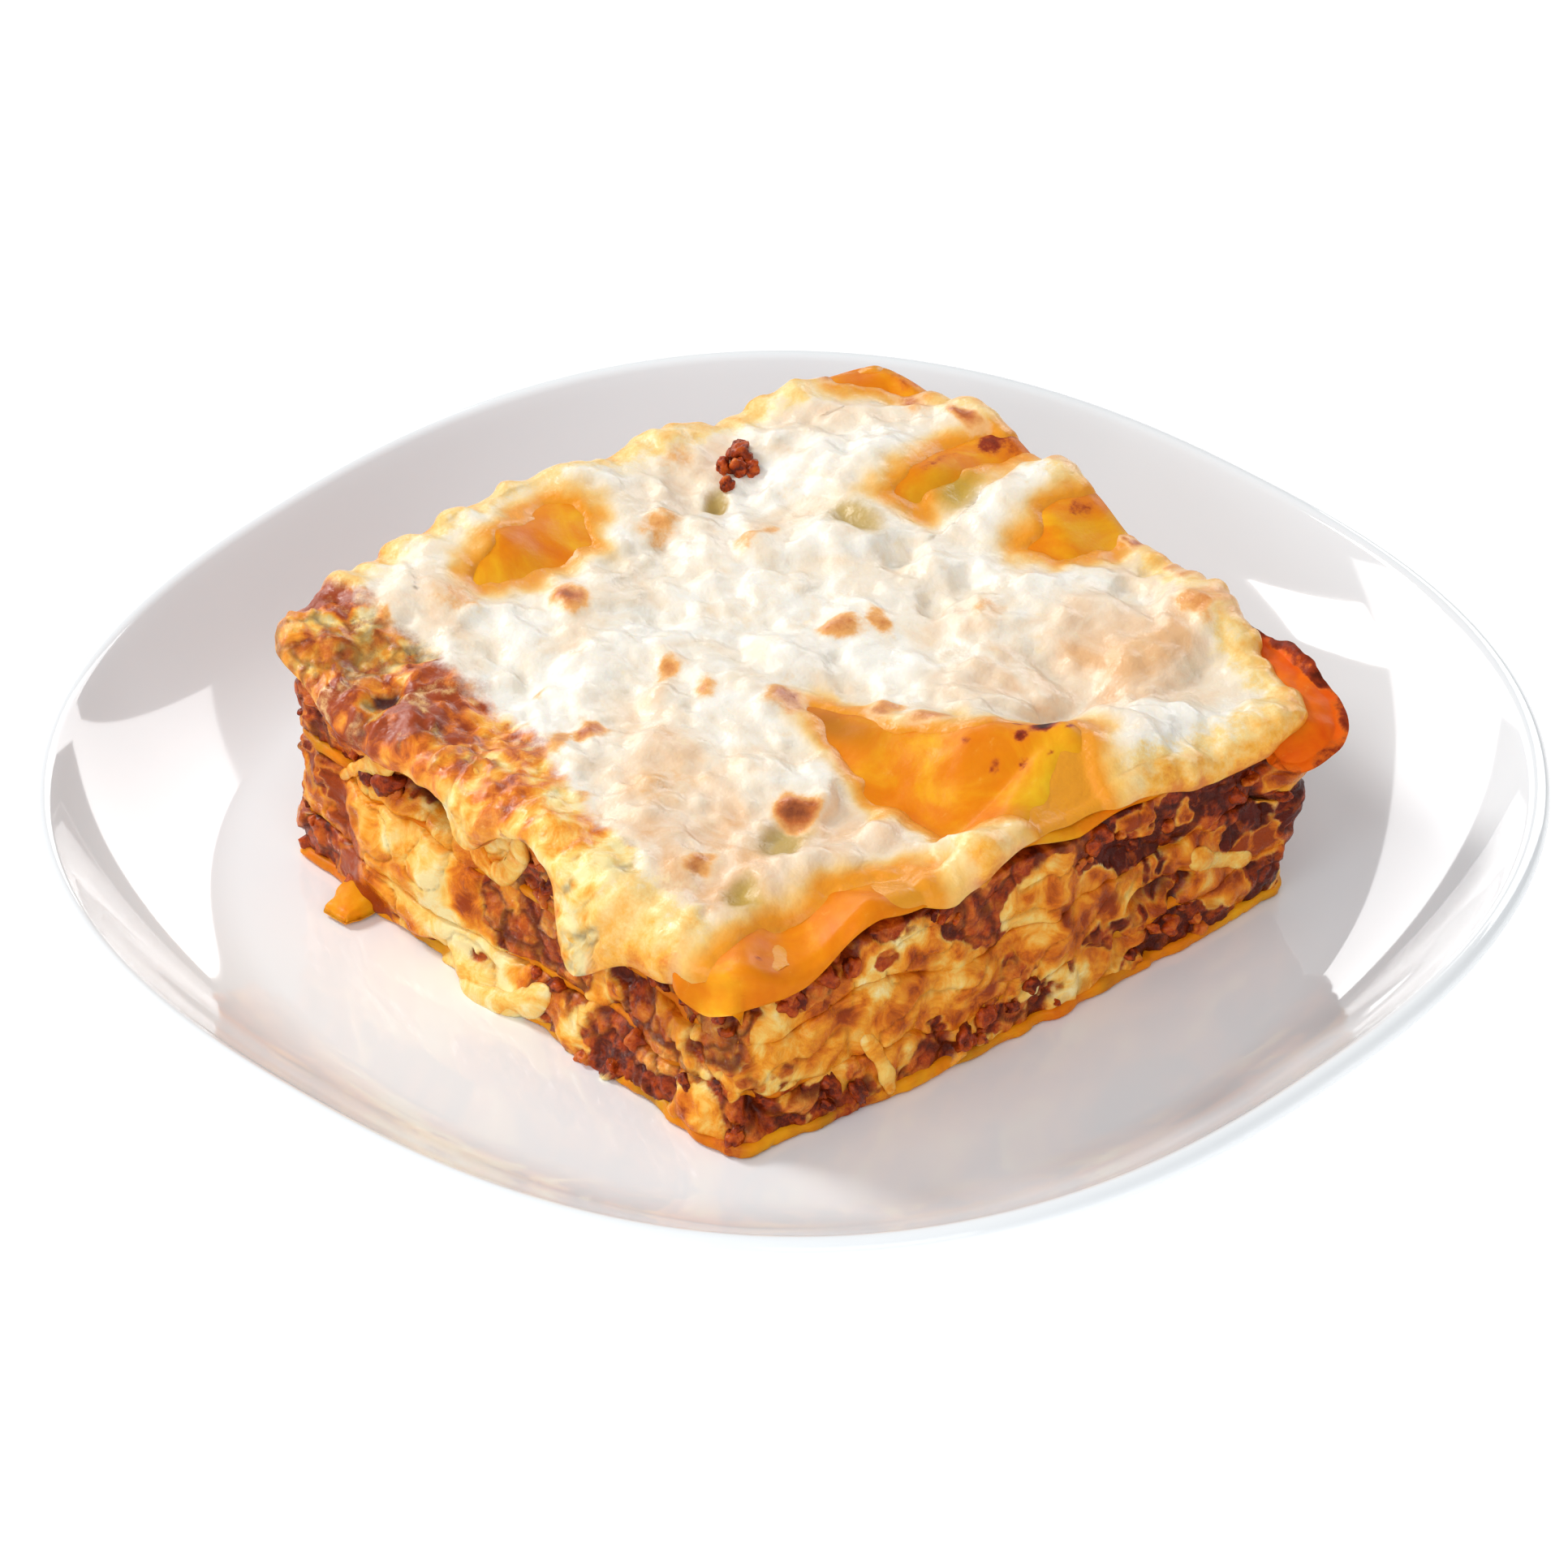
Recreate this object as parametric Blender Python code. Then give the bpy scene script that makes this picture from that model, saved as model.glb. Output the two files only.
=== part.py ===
"""A slice of meat lasagne on a rounded-square coupe plate, in metres, +Z up.

The origin is under the middle of the plate, on the table. The sides of the plate run along X and Y, and the
slice lies on the well, turned a few degrees. From the plate up, the slice is four pasta sheets with two layers
of ragu and one of white sauce between them, and a blanket of melted cheese on top.
"""

import math

import bmesh
import bpy
from mathutils import Vector

MM = 0.001
GAP = 0.45 * MM  # free space between neighbouring solids

# Plate
PLATE_HALF_WIDTH = 111.0 * MM  # centre to the middle of a side
PLATE_SQUARENESS = 2.4  # exponent of the rim's superellipse: 2 is a circle
PLATE_FLOOR_Z = 7.0 * MM
PLATE_WELL_DEPTH = 19.4 * MM
PLATE_FLOOR_SHARE = 0.75  # of the half width, where the wall starts to rise
PLATE_WALL_POWER = 1.8
PLATE_THICKNESS = 3.8 * MM
FOOT_OUTER_SHARE = 0.60
FOOT_INNER_SHARE = 0.54
FOOT_RECESS = 2.0 * MM  # how far the plate's underside is above the table
PLATE_SECTORS = 48
LIP_STEPS = 4
LIP_START = 139.0  # degrees round the lip's small circle, where the wall runs into it
LIP_END = -40.0

# Slice: the corners of its plan, anticlockwise from the one between its two best cut faces
CORNER_CUT = Vector((-58.5, -43.5)) * MM
CORNER_RIGHT = Vector((46.5, -64.0)) * MM
CORNER_BACK = Vector((65.0, 41.0)) * MM
CORNER_LEFT = Vector((-50.0, 58.0)) * MM
CUT_CORNER_SPREAD = Vector((-4.0, -3.0)) * MM  # how far the lowest layer's corner lies past the top one's
BACK_SIDE_BOW = 6.0 * MM  # how far the middle of a side stands out from the line between its corners
RIGHT_SIDE_BOW = 3.5 * MM
# Height of the top pasta sheet above the well's floor at the same corners
HEIGHT_CUT = 30.5 * MM
HEIGHT_RIGHT = 31.5 * MM
HEIGHT_BACK = 36.0 * MM
HEIGHT_LEFT = 37.0 * MM
CORNER_ROUNDING = 0.10  # 0 keeps the corners square, 1 makes the plan an ellipse

SHEET_THICKNESS = 1.7 * MM
CHEESE_THICKNESS = 3.2 * MM
SHEET_WAVE = 0.55 * MM

# Layers from the plate up: where each starts and ends, as shares of the height of the top sheet's underside
RAGU_LOWER = (0.065, 0.225)
SHEET_SECOND = 0.245
SAUCE_WHITE = (0.310, 0.555)
SHEET_THIRD = 0.575
RAGU_UPPER = (0.645, 0.980)

# Share of the spread at the cut corner that each lower layer has. The upper layers have none
SPREAD_SHEET_BOTTOM = 1.0
SPREAD_RAGU_LOWER = 0.85
SPREAD_SHEET_SECOND = 0.7
SPREAD_SAUCE_WHITE = 0.45
SPREAD_SHEET_THIRD = 0.2

# How far the edge of each layer stands out from the slice's plan
GROW_SHEET_BOTTOM = 0.8 * MM
GROW_RAGU_LOWER = -0.8 * MM
GROW_SHEET_SECOND = 0.3 * MM
GROW_SAUCE_WHITE = 0.2 * MM
GROW_SHEET_THIRD = 0.4 * MM
GROW_RAGU_UPPER = -1.0 * MM
GROW_SHEET_TOP = 2.6 * MM
GROW_CHEESE = 2.0 * MM
# How far the middle of a filling's cut edge bulges past its rims
RAGU_LOWER_BULGE = 1.0 * MM
SAUCE_WHITE_BULGE = 1.8 * MM
RAGU_UPPER_BULGE = 1.4 * MM
OVERHANG_SAG = 95.0  # metres of drop per square metre of overhang

COARSE_CELLS = (11, 10)
FINE_CELLS = (20, 18)

# Folds of the top sheet: the crest's two ends, its height and its half width
TOP_FOLDS = (
    (Vector((-6.0, -14.0)) * MM, Vector((9.0, -45.0)) * MM, 6.5 * MM, 7.5 * MM),
    (Vector((6.0, -49.0)) * MM, Vector((-16.0, -55.0)) * MM, 3.0 * MM, 6.0 * MM),
    (Vector((34.0, 15.0)) * MM, Vector((64.0, 12.0)) * MM, 4.5 * MM, 7.0 * MM),
    (Vector((43.0, -6.0)) * MM, Vector((63.0, -9.0)) * MM, 3.5 * MM, 6.5 * MM),
    (Vector((-22.0, 48.0)) * MM, Vector((4.0, 51.0)) * MM, 3.5 * MM, 7.0 * MM),
    (Vector((-46.0, -30.0)) * MM, Vector((-54.0, -40.0)) * MM, 1.8 * MM, 8.0 * MM),
    (Vector((50.0, 44.0)) * MM, Vector((60.0, 36.0)) * MM, 1.6 * MM, 8.0 * MM),
)
FOLD_END_FADE = 8.0 * MM
CUT_CORNER_TONGUE = 5.5 * MM  # extra length of the top sheet's corner that hangs over the cut corner
CUT_CORNER_REACH = 16.0 * MM
CUT_CORNER_SHOULDER = 6.0 * MM
RAGU_SHOULDER = 1.8 * MM

# The browned flap that sticks out round the right corner. Along it: the distance from the corner, on the
# front side where it is negative, how far the flap reaches out of its inner edge, how far its rim hangs down
FLAP_SECTIONS = (
    (-6.0 * MM, 1.2 * MM, 7.5 * MM),
    (-3.0 * MM, 3.6 * MM, 4.0 * MM),
    (0.0 * MM, 5.2 * MM, 1.5 * MM),
    (5.0 * MM, 5.6 * MM, -1.0 * MM),
    (13.0 * MM, 4.4 * MM, -1.5 * MM),
    (20.0 * MM, 2.8 * MM, -1.0 * MM),
    (27.0 * MM, 1.4 * MM, -0.5 * MM),
)
FLAP_STANDOFF = 4.3 * MM
FLAP_RISE = 0.4 * MM  # of its inner edge over the top sheet's underside
FLAP_THICKNESS = 1.8 * MM
FLAP_STEPS = 4  # from its inner edge to its rim
# The scrap of pasta that peeps out under the left side
SCRAP_FROM_CORNER = 17.0 * MM
SCRAP_STANDOFF = 2.4 * MM
SCRAP_LENGTH = 5.5 * MM
SCRAP_WIDTH = 9.0 * MM
SCRAP_TAPER = 0.55  # share of its width lost at the tip
SCRAP_SLANT = 3.0 * MM
SCRAP_RISE = 1.6 * MM
SCRAP_THICKNESS = 2.2 * MM

COLOURS = {
    "porcelain": ((0.90, 0.90, 0.91), 0.12),
    "pasta": ((0.90, 0.58, 0.20), 0.42),
    "pasta_baked": ((0.86, 0.33, 0.06), 0.40),
    "ragu": ((0.36, 0.11, 0.04), 0.45),
    "white_sauce": ((0.93, 0.80, 0.50), 0.35),
    "cheese": ((0.95, 0.90, 0.78), 0.40),
}


def clear_scene():
    for obj in list(bpy.data.objects):
        bpy.data.objects.remove(obj)


def material(name):
    """A plain Principled material of one colour and roughness."""
    found = bpy.data.materials.get(name)
    if found:
        return found
    colour, roughness = COLOURS[name]
    made = bpy.data.materials.new(name)
    made.use_nodes = True
    shader = made.node_tree.nodes["Principled BSDF"]
    shader.inputs["Base Color"].default_value = (*colour, 1.0)
    shader.inputs["Roughness"].default_value = roughness
    return made


def finish(name, mesh_builder, material_name, collection):
    """Turns a bmesh into a smooth-shaded object of the collection."""
    bmesh.ops.recalc_face_normals(mesh_builder, faces=mesh_builder.faces)
    mesh = bpy.data.meshes.new(name)
    mesh_builder.to_mesh(mesh)
    mesh_builder.free()
    mesh.shade_smooth()
    mesh.set_sharp_from_angle(angle=math.radians(50.0))
    mesh.materials.append(material(material_name))
    obj = bpy.data.objects.new(name, mesh)
    collection.objects.link(obj)
    return obj


def smoothstep(low, high, value):
    t = min(1.0, max(0.0, (value - low) / (high - low)))
    return t * t * (3.0 - 2.0 * t)


# ---------------------------------------------------------------- plate

def well_height(share):
    """Height of the plate's upper face at a share of the way from its centre to its rim."""
    rise = max(0.0, share - PLATE_FLOOR_SHARE) / (1.0 - PLATE_FLOOR_SHARE)
    return PLATE_FLOOR_Z + PLATE_WELL_DEPTH * rise**PLATE_WALL_POWER


def plate_profile():
    """Half section of the plate, from the centre of the well over the lip to the centre of its underside."""
    radius = PLATE_HALF_WIDTH
    upper = [0.0, 0.35, PLATE_FLOOR_SHARE, 0.80, 0.85, 0.90, 0.94]
    points = [(share * radius, well_height(share)) for share in upper]
    lip_radius = PLATE_THICKNESS / 2
    lip_x = radius - lip_radius
    start = math.radians(LIP_START)
    lip_z = well_height((lip_x + lip_radius * math.cos(start)) / radius) - lip_radius * math.sin(start)
    for step in range(LIP_STEPS + 1):
        angle = math.radians(LIP_START + (LIP_END - LIP_START) * step / LIP_STEPS)
        points.append((lip_x + lip_radius * math.cos(angle), lip_z + lip_radius * math.sin(angle)))
    for share in (0.95, 0.89, 0.82, 0.72):
        points.append((share * radius, well_height(share) - PLATE_THICKNESS))
    underside = PLATE_FLOOR_Z - PLATE_THICKNESS
    points += [
        ((FOOT_OUTER_SHARE + 0.015) * radius, underside),
        (FOOT_OUTER_SHARE * radius, 0.0),
        (FOOT_INNER_SHARE * radius, 0.0),
        ((FOOT_INNER_SHARE - 0.015) * radius, FOOT_RECESS),
        (0.0, FOOT_RECESS),
    ]
    return points


def squared(point):
    """Moves a point of a round plate outwards, more towards the rim, so that the plan becomes a superellipse."""
    radius = math.hypot(point.x, point.y)
    if radius < 1e-9:
        return point
    share = radius / PLATE_HALF_WIDTH
    across, along = abs(point.x) / radius, abs(point.y) / radius
    stretch = (across**PLATE_SQUARENESS + along**PLATE_SQUARENESS) ** (-1.0 / PLATE_SQUARENESS)
    factor = 1.0 + (stretch - 1.0) * smoothstep(FOOT_OUTER_SHARE, 0.95, share)
    return Vector((point.x * factor, point.y * factor, point.z))


def make_plate(collection):
    bm = bmesh.new()
    ring = [bm.verts.new((x, 0.0, z)) for x, z in plate_profile()]
    edges = [bm.edges.new(pair) for pair in zip(ring[:-1], ring[1:])]
    bmesh.ops.spin(
        bm, geom=ring + edges, cent=(0, 0, 0), axis=(0, 0, 1),
        angle=math.tau, steps=PLATE_SECTORS, use_duplicate=False,
    )
    bmesh.ops.remove_doubles(bm, verts=bm.verts, dist=0.01 * MM)
    for vert in bm.verts:
        vert.co = squared(vert.co)
    return finish("plate", bm, "porcelain", collection)


# ---------------------------------------------------------------- slice

def blend_corners(u, v, cut, right, back, left):
    """Bilinear mix of four corner values, for u and v from -1 to 1."""
    a, b = (u + 1.0) / 2.0, (v + 1.0) / 2.0
    return cut * ((1 - a) * (1 - b)) + right * (a * (1 - b)) + back * (a * b) + left * ((1 - a) * b)


def plan_of(u, v, grow, spread=0.0):
    """Plan point of the slice at u, v, with its outline grown outwards and its corners a little rounded."""
    rounded_u = u * math.sqrt(1.0 - CORNER_ROUNDING * v * v / 2.0)
    rounded_v = v * math.sqrt(1.0 - CORNER_ROUNDING * u * u / 2.0)
    cut = CORNER_CUT + CUT_CORNER_SPREAD * spread
    point = blend_corners(rounded_u, rounded_v, cut, CORNER_RIGHT, CORNER_BACK, CORNER_LEFT)
    along = (CORNER_RIGHT - CORNER_CUT).normalized()
    across = (CORNER_LEFT - CORNER_CUT).normalized()
    bow_right = RIGHT_SIDE_BOW * max(0.0, u) * (1.0 - v * v)
    bow_back = BACK_SIDE_BOW * max(0.0, v) * (1.0 - u * u)
    return point + along * (grow * rounded_u + bow_right) + across * (grow * rounded_v + bow_back)


def edge_waver(u, v, seed):
    """A gentle wander of a layer's cut edge, which differs from layer to layer."""
    around = math.atan2(v, u)
    return 0.6 * MM * (math.sin(3.0 * around + seed) + 0.7 * math.sin(7.0 * around + 2.3 * seed))


def stack_height(u, v):
    """Height of the top sheet's underside above the well's floor, without its folds."""
    return blend_corners(u, v, HEIGHT_CUT, HEIGHT_RIGHT, HEIGHT_BACK, HEIGHT_LEFT)


def level(share, u, v):
    """Height of a layer boundary that lies at this share of the stack."""
    sway = math.sin(2.6 * u + 1.9 * v + 3.0 * share) + 0.6 * math.sin(4.4 * v - 1.7 * u + 2.0 * share)
    return PLATE_FLOOR_Z + GAP + share * stack_height(u, v) + SHEET_WAVE * sway * smoothstep(0.0, 0.3, share)


def fold_lift(x, y):
    """How far the folds raise the top sheet at a plan point."""
    lift = 0.0
    for start, end, height, half_width in TOP_FOLDS:
        run = end - start
        along = (Vector((x, y)) - start).dot(run) / run.length
        across = (Vector((x, y)) - start).cross(run) / run.length
        fade = smoothstep(-FOLD_END_FADE, 0.0, along) * smoothstep(-FOLD_END_FADE, 0.0, run.length - along)
        lift = max(lift, height * fade * math.exp(-((across / half_width) ** 2)))
    return lift


def unit_block(cells, wall_cuts):
    """A closed block whose points hold u, v from -1 to 1 and t from 0, its underside, to 1, its top."""
    bm = bmesh.new()
    bmesh.ops.create_grid(bm, x_segments=cells[0], y_segments=cells[1], size=1.0)
    top = bmesh.ops.extrude_face_region(bm, geom=bm.faces[:])["geom"]
    for vert in top:
        if isinstance(vert, bmesh.types.BMVert):
            vert.co.z = 1.0
    upright = [edge for edge in bm.edges if abs(edge.verts[0].co.z - edge.verts[1].co.z) > 0.5]
    if wall_cuts:
        bmesh.ops.subdivide_edges(bm, edges=upright, cuts=wall_cuts)
    return bm


def make_layer(name, material_name, collection, low, high, grow, bulge, seed, spread=0.0, cells=COARSE_CELLS):
    """One layer between two height functions of u, v. Its cut edge bulges outwards halfway up."""
    bm = unit_block(cells, 2 if bulge else 0)
    for vert in bm.verts:
        u, v, t = vert.co
        edge = max(abs(u), abs(v))
        waver = edge_waver(u, v, seed) * smoothstep(0.7, 1.0, edge)
        out = grow + waver + bulge * math.sin(math.pi * t) * smoothstep(0.9, 1.0, edge)
        plan = plan_of(u, v, out, spread)
        vert.co = (plan.x, plan.y, low(u, v) + t * (high(u, v) - low(u, v)))
    return finish(name, bm, material_name, collection)


def make_inner_sheet(name, collection, share, grow, seed, spread):
    def low(u, v):
        return level(share, u, v)

    def high(u, v):
        return level(share, u, v) + SHEET_THICKNESS

    return make_layer(name, "pasta", collection, low, high, grow, 0.0, seed, spread)


def make_filling(name, material_name, collection, shares, grow, bulge, seed, spread):
    def low(u, v):
        return level(shares[0], u, v)

    def high(u, v):
        return level(shares[1], u, v)

    return make_layer(name, material_name, collection, low, high, grow, bulge, seed, spread)


def tongue(u, v):
    """Extra length of the top sheet around the cut corner."""
    corner = math.hypot(u + 1.0, v + 1.0) * (CORNER_RIGHT - CORNER_CUT).length / 2.0
    return CUT_CORNER_TONGUE * (1.0 - smoothstep(0.0, CUT_CORNER_REACH, corner))


def top_sheet_low(u, v, plan, overhang):
    """Underside of the top sheet. It follows the folds, and sags where it hangs past the ragu."""
    hanging = max(0.0, overhang) * smoothstep(0.85, 1.0, max(abs(u), abs(v)))
    return level(1.0, u, v) + fold_lift(plan.x, plan.y) - OVERHANG_SAG * hanging**2


def make_upper_ragu(collection):
    """The upper ragu. Its top edge is rounded off, most of all at the cut corner, where the sheet above hangs down."""

    def low(u, v):
        return level(RAGU_UPPER[0], u, v)

    def high(u, v):
        edge = smoothstep(0.75, 1.0, max(abs(u), abs(v)))
        near_cut = tongue(u, v) / CUT_CORNER_TONGUE
        return level(RAGU_UPPER[1], u, v) - RAGU_SHOULDER * edge - CUT_CORNER_SHOULDER * near_cut

    grow, bulge = GROW_RAGU_UPPER, RAGU_UPPER_BULGE
    return make_layer("ragu_upper", "ragu", collection, low, high, grow, bulge, 1.3, cells=FINE_CELLS)


def make_top_layers(collection):
    """The top sheet, and the cheese blanket that follows it."""
    for name, material_name, grow, start, thickness in (
        ("pasta_sheet_top", "pasta", GROW_SHEET_TOP, 0.0, SHEET_THICKNESS),
        ("cheese_topping", "cheese", GROW_CHEESE, SHEET_THICKNESS + GAP, CHEESE_THICKNESS),
    ):
        bm = unit_block(FINE_CELLS, 1 if name == "cheese_topping" else 0)
        for vert in bm.verts:
            u, v, t = vert.co
            edge = smoothstep(0.85, 1.0, max(abs(u), abs(v)))
            out = grow + tongue(u, v) + edge_waver(u, v, 1.3) * edge
            sheet_plan = plan_of(u, v, GROW_SHEET_TOP + tongue(u, v) + edge_waver(u, v, 1.3) * edge)
            plan = plan_of(u, v, out)
            low = top_sheet_low(u, v, sheet_plan, out - GROW_RAGU_UPPER) + start
            thin = 1.0 - 0.55 * edge if name == "cheese_topping" else 1.0
            vert.co = (plan.x, plan.y, low + t * thickness * thin)
        finish(name, bm, material_name, collection)


def beside_right_corner(distance, out):
    """Plan point this far out of the slice, at a distance from the right corner: on the right side, or the front."""
    if distance < 0.0:
        front = (CORNER_RIGHT - CORNER_CUT).length
        return plan_of(1.0 + 2.0 * distance / front, -1.0, out)
    side = (CORNER_BACK - CORNER_RIGHT).length
    return plan_of(1.0, 2.0 * distance / side - 1.0, out)


def make_flap(collection):
    """The browned end of a sheet, a ledge that runs round the right corner and curls down on the front."""
    bm = unit_block((len(FLAP_SECTIONS) - 1, FLAP_STEPS), 0)
    inner_z = PLATE_FLOOR_Z + HEIGHT_RIGHT + FLAP_RISE
    for vert in bm.verts:
        u, v, t = vert.co
        section = round((u + 1.0) / 2.0 * (len(FLAP_SECTIONS) - 1))
        distance, reach, hang = FLAP_SECTIONS[section]
        share = (1.0 - v) / 2.0
        plan = beside_right_corner(distance, FLAP_STANDOFF + reach * share)
        vert.co = (plan.x, plan.y, inner_z - hang * share**2 + t * FLAP_THICKNESS)
    return finish("pasta_flap", bm, "pasta_baked", collection)


def make_scrap(collection):
    """The end of a torn sheet that lies on the well, pointing out from under the left side."""
    bm = unit_block((6, 4), 0)
    along = (CORNER_LEFT - CORNER_CUT).normalized()
    outward = Vector((-along.y, along.x))
    start = CORNER_LEFT - along * SCRAP_FROM_CORNER + outward * SCRAP_STANDOFF
    for vert in bm.verts:
        u, v, t = vert.co
        out = (u + 1.0) / 2.0
        half = SCRAP_WIDTH / 2.0 * (1.0 - SCRAP_TAPER * out)
        plan = start + outward * (SCRAP_LENGTH * out) + along * (half * v - SCRAP_SLANT * out)
        rise = SCRAP_RISE * (1.0 - v * v) * (1.0 - out)
        vert.co = (plan.x, plan.y, PLATE_FLOOR_Z + GAP + rise + t * SCRAP_THICKNESS)
    return finish("pasta_scrap", bm, "pasta_baked", collection)


def main():
    clear_scene()
    collection = bpy.data.collections.new("lasagne_slice")
    bpy.context.scene.collection.children.link(collection)
    make_plate(collection)
    make_inner_sheet("pasta_sheet_bottom", collection, 0.0, GROW_SHEET_BOTTOM, 0.4, SPREAD_SHEET_BOTTOM)
    make_filling(
        "ragu_lower", "ragu", collection, RAGU_LOWER,
        GROW_RAGU_LOWER, RAGU_LOWER_BULGE, 2.1, SPREAD_RAGU_LOWER,
    )
    make_inner_sheet("pasta_sheet_second", collection, SHEET_SECOND, GROW_SHEET_SECOND, 3.7, SPREAD_SHEET_SECOND)
    make_filling(
        "white_sauce", "white_sauce", collection, SAUCE_WHITE,
        GROW_SAUCE_WHITE, SAUCE_WHITE_BULGE, 5.2, SPREAD_SAUCE_WHITE,
    )
    make_inner_sheet("pasta_sheet_third", collection, SHEET_THIRD, GROW_SHEET_THIRD, 6.1, SPREAD_SHEET_THIRD)
    make_upper_ragu(collection)
    make_top_layers(collection)
    make_flap(collection)
    make_scrap(collection)


main()
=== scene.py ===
"""The looks of the lasagne slice on its plate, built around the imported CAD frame. Metres, +Z up.

The slice's outline, the heights of its layers and the plate's size are read from the frame. Sizes in the
tables are in millimetres. A place on the cut faces is given by its distance along the outline from the cut
corner: positive distances run along the front face to the right corner, negative ones along the left face.
"""

import itertools
import math

import bmesh
import bpy
import numpy as np
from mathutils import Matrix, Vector, geometry


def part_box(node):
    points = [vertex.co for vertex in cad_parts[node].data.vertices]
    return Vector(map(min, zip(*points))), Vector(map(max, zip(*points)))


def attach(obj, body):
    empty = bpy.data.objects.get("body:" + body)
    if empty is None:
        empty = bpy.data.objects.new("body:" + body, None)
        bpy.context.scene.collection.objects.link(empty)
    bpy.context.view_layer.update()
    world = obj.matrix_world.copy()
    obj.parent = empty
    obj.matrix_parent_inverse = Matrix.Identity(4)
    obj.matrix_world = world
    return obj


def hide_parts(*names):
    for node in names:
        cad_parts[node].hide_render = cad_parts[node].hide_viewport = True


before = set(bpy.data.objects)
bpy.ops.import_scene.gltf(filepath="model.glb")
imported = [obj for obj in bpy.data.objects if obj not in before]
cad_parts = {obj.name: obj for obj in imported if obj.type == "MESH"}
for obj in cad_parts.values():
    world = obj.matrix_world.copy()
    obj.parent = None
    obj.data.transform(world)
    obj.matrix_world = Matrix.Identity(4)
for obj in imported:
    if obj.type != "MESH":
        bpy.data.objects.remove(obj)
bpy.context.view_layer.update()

MM = 0.001
COLUMN_SPACING = 0.42  # mm between the columns of points round the slice
TOP_CELLS = (228, 214)  # of the cheese, across and along the slice
SHEET_CELLS = (200, 190)  # of the top sheet


# ---------------------------------------------------------------- noise

def lattice(ix, iy, iz, seed):
    """A fixed random number from 0 to 1 for each whole-numbered lattice point."""
    mixed = (ix * 73856093) ^ (iy * 19349663) ^ (iz * 83492791) ^ (seed * 654435761)
    mixed = (mixed ^ (mixed >> 13)) & 0xFFFFFFFF
    mixed = (mixed * 1274126177) & 0xFFFFFFFF
    mixed ^= mixed >> 16
    return (mixed & 0xFFFFFF) / 0xFFFFFF


def noise(points, size, seed=0, octaves=1):
    """Smooth noise from about -1 to 1, whose lumps are this many mm wide."""
    total = 0.0
    weight = 0.0
    for octave in range(octaves):
        scaled = points / (size * MM) * 2.0**octave
        whole = np.floor(scaled).astype(np.int64)
        part = scaled - whole
        part = part * part * part * (part * (part * 6.0 - 15.0) + 10.0)
        value = 0.0
        for step in itertools.product((0, 1), repeat=3):
            corner = whole + np.array(step)
            share = np.prod(np.where(np.array(step) == 1, part, 1.0 - part), axis=1)
            value = value + share * lattice(corner[:, 0], corner[:, 1], corner[:, 2], seed + 17 * octave)
        total = total + (3.0 * value - 1.5) * 0.5**octave
        weight += 0.5**octave
    return total / weight


def cells(points, size, seed):
    """Distances to the two nearest of scattered points, in cell sizes, and the nearest one's number."""
    scaled = points / (size * MM)
    whole = np.floor(scaled).astype(np.int64)
    nearest = np.full(len(points), 9.0)
    second = np.full(len(points), 9.0)
    number = np.zeros(len(points))
    for step in itertools.product((-1, 0, 1), repeat=3):
        cell = whole + np.array(step)
        x, y, z = cell.T
        offset = np.stack([lattice(x, y, z, seed + k) for k in (1, 2, 3)], axis=1)
        distance = np.linalg.norm(scaled - cell - offset, axis=1)
        closer = distance < nearest
        second = np.where(closer, nearest, np.minimum(second, distance))
        number = np.where(closer, lattice(x, y, z, seed + 4), number)
        nearest = np.where(closer, distance, nearest)
    return nearest, second, number


def smoothstep(low, high, value):
    t = np.clip((value - low) / (high - low), 0.0, 1.0)
    return t * t * (3.0 - 2.0 * t)


def closed_blur(values, half_window):
    """Moving average of values round a closed loop, run twice."""
    kernel = np.ones(2 * half_window + 1) / (2 * half_window + 1)
    for _ in range(2):
        padded = np.concatenate([values[-half_window:], values, values[:half_window]])
        values = np.convolve(padded, kernel, mode="valid")
    return values


# ---------------------------------------------------------------- materials

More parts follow.
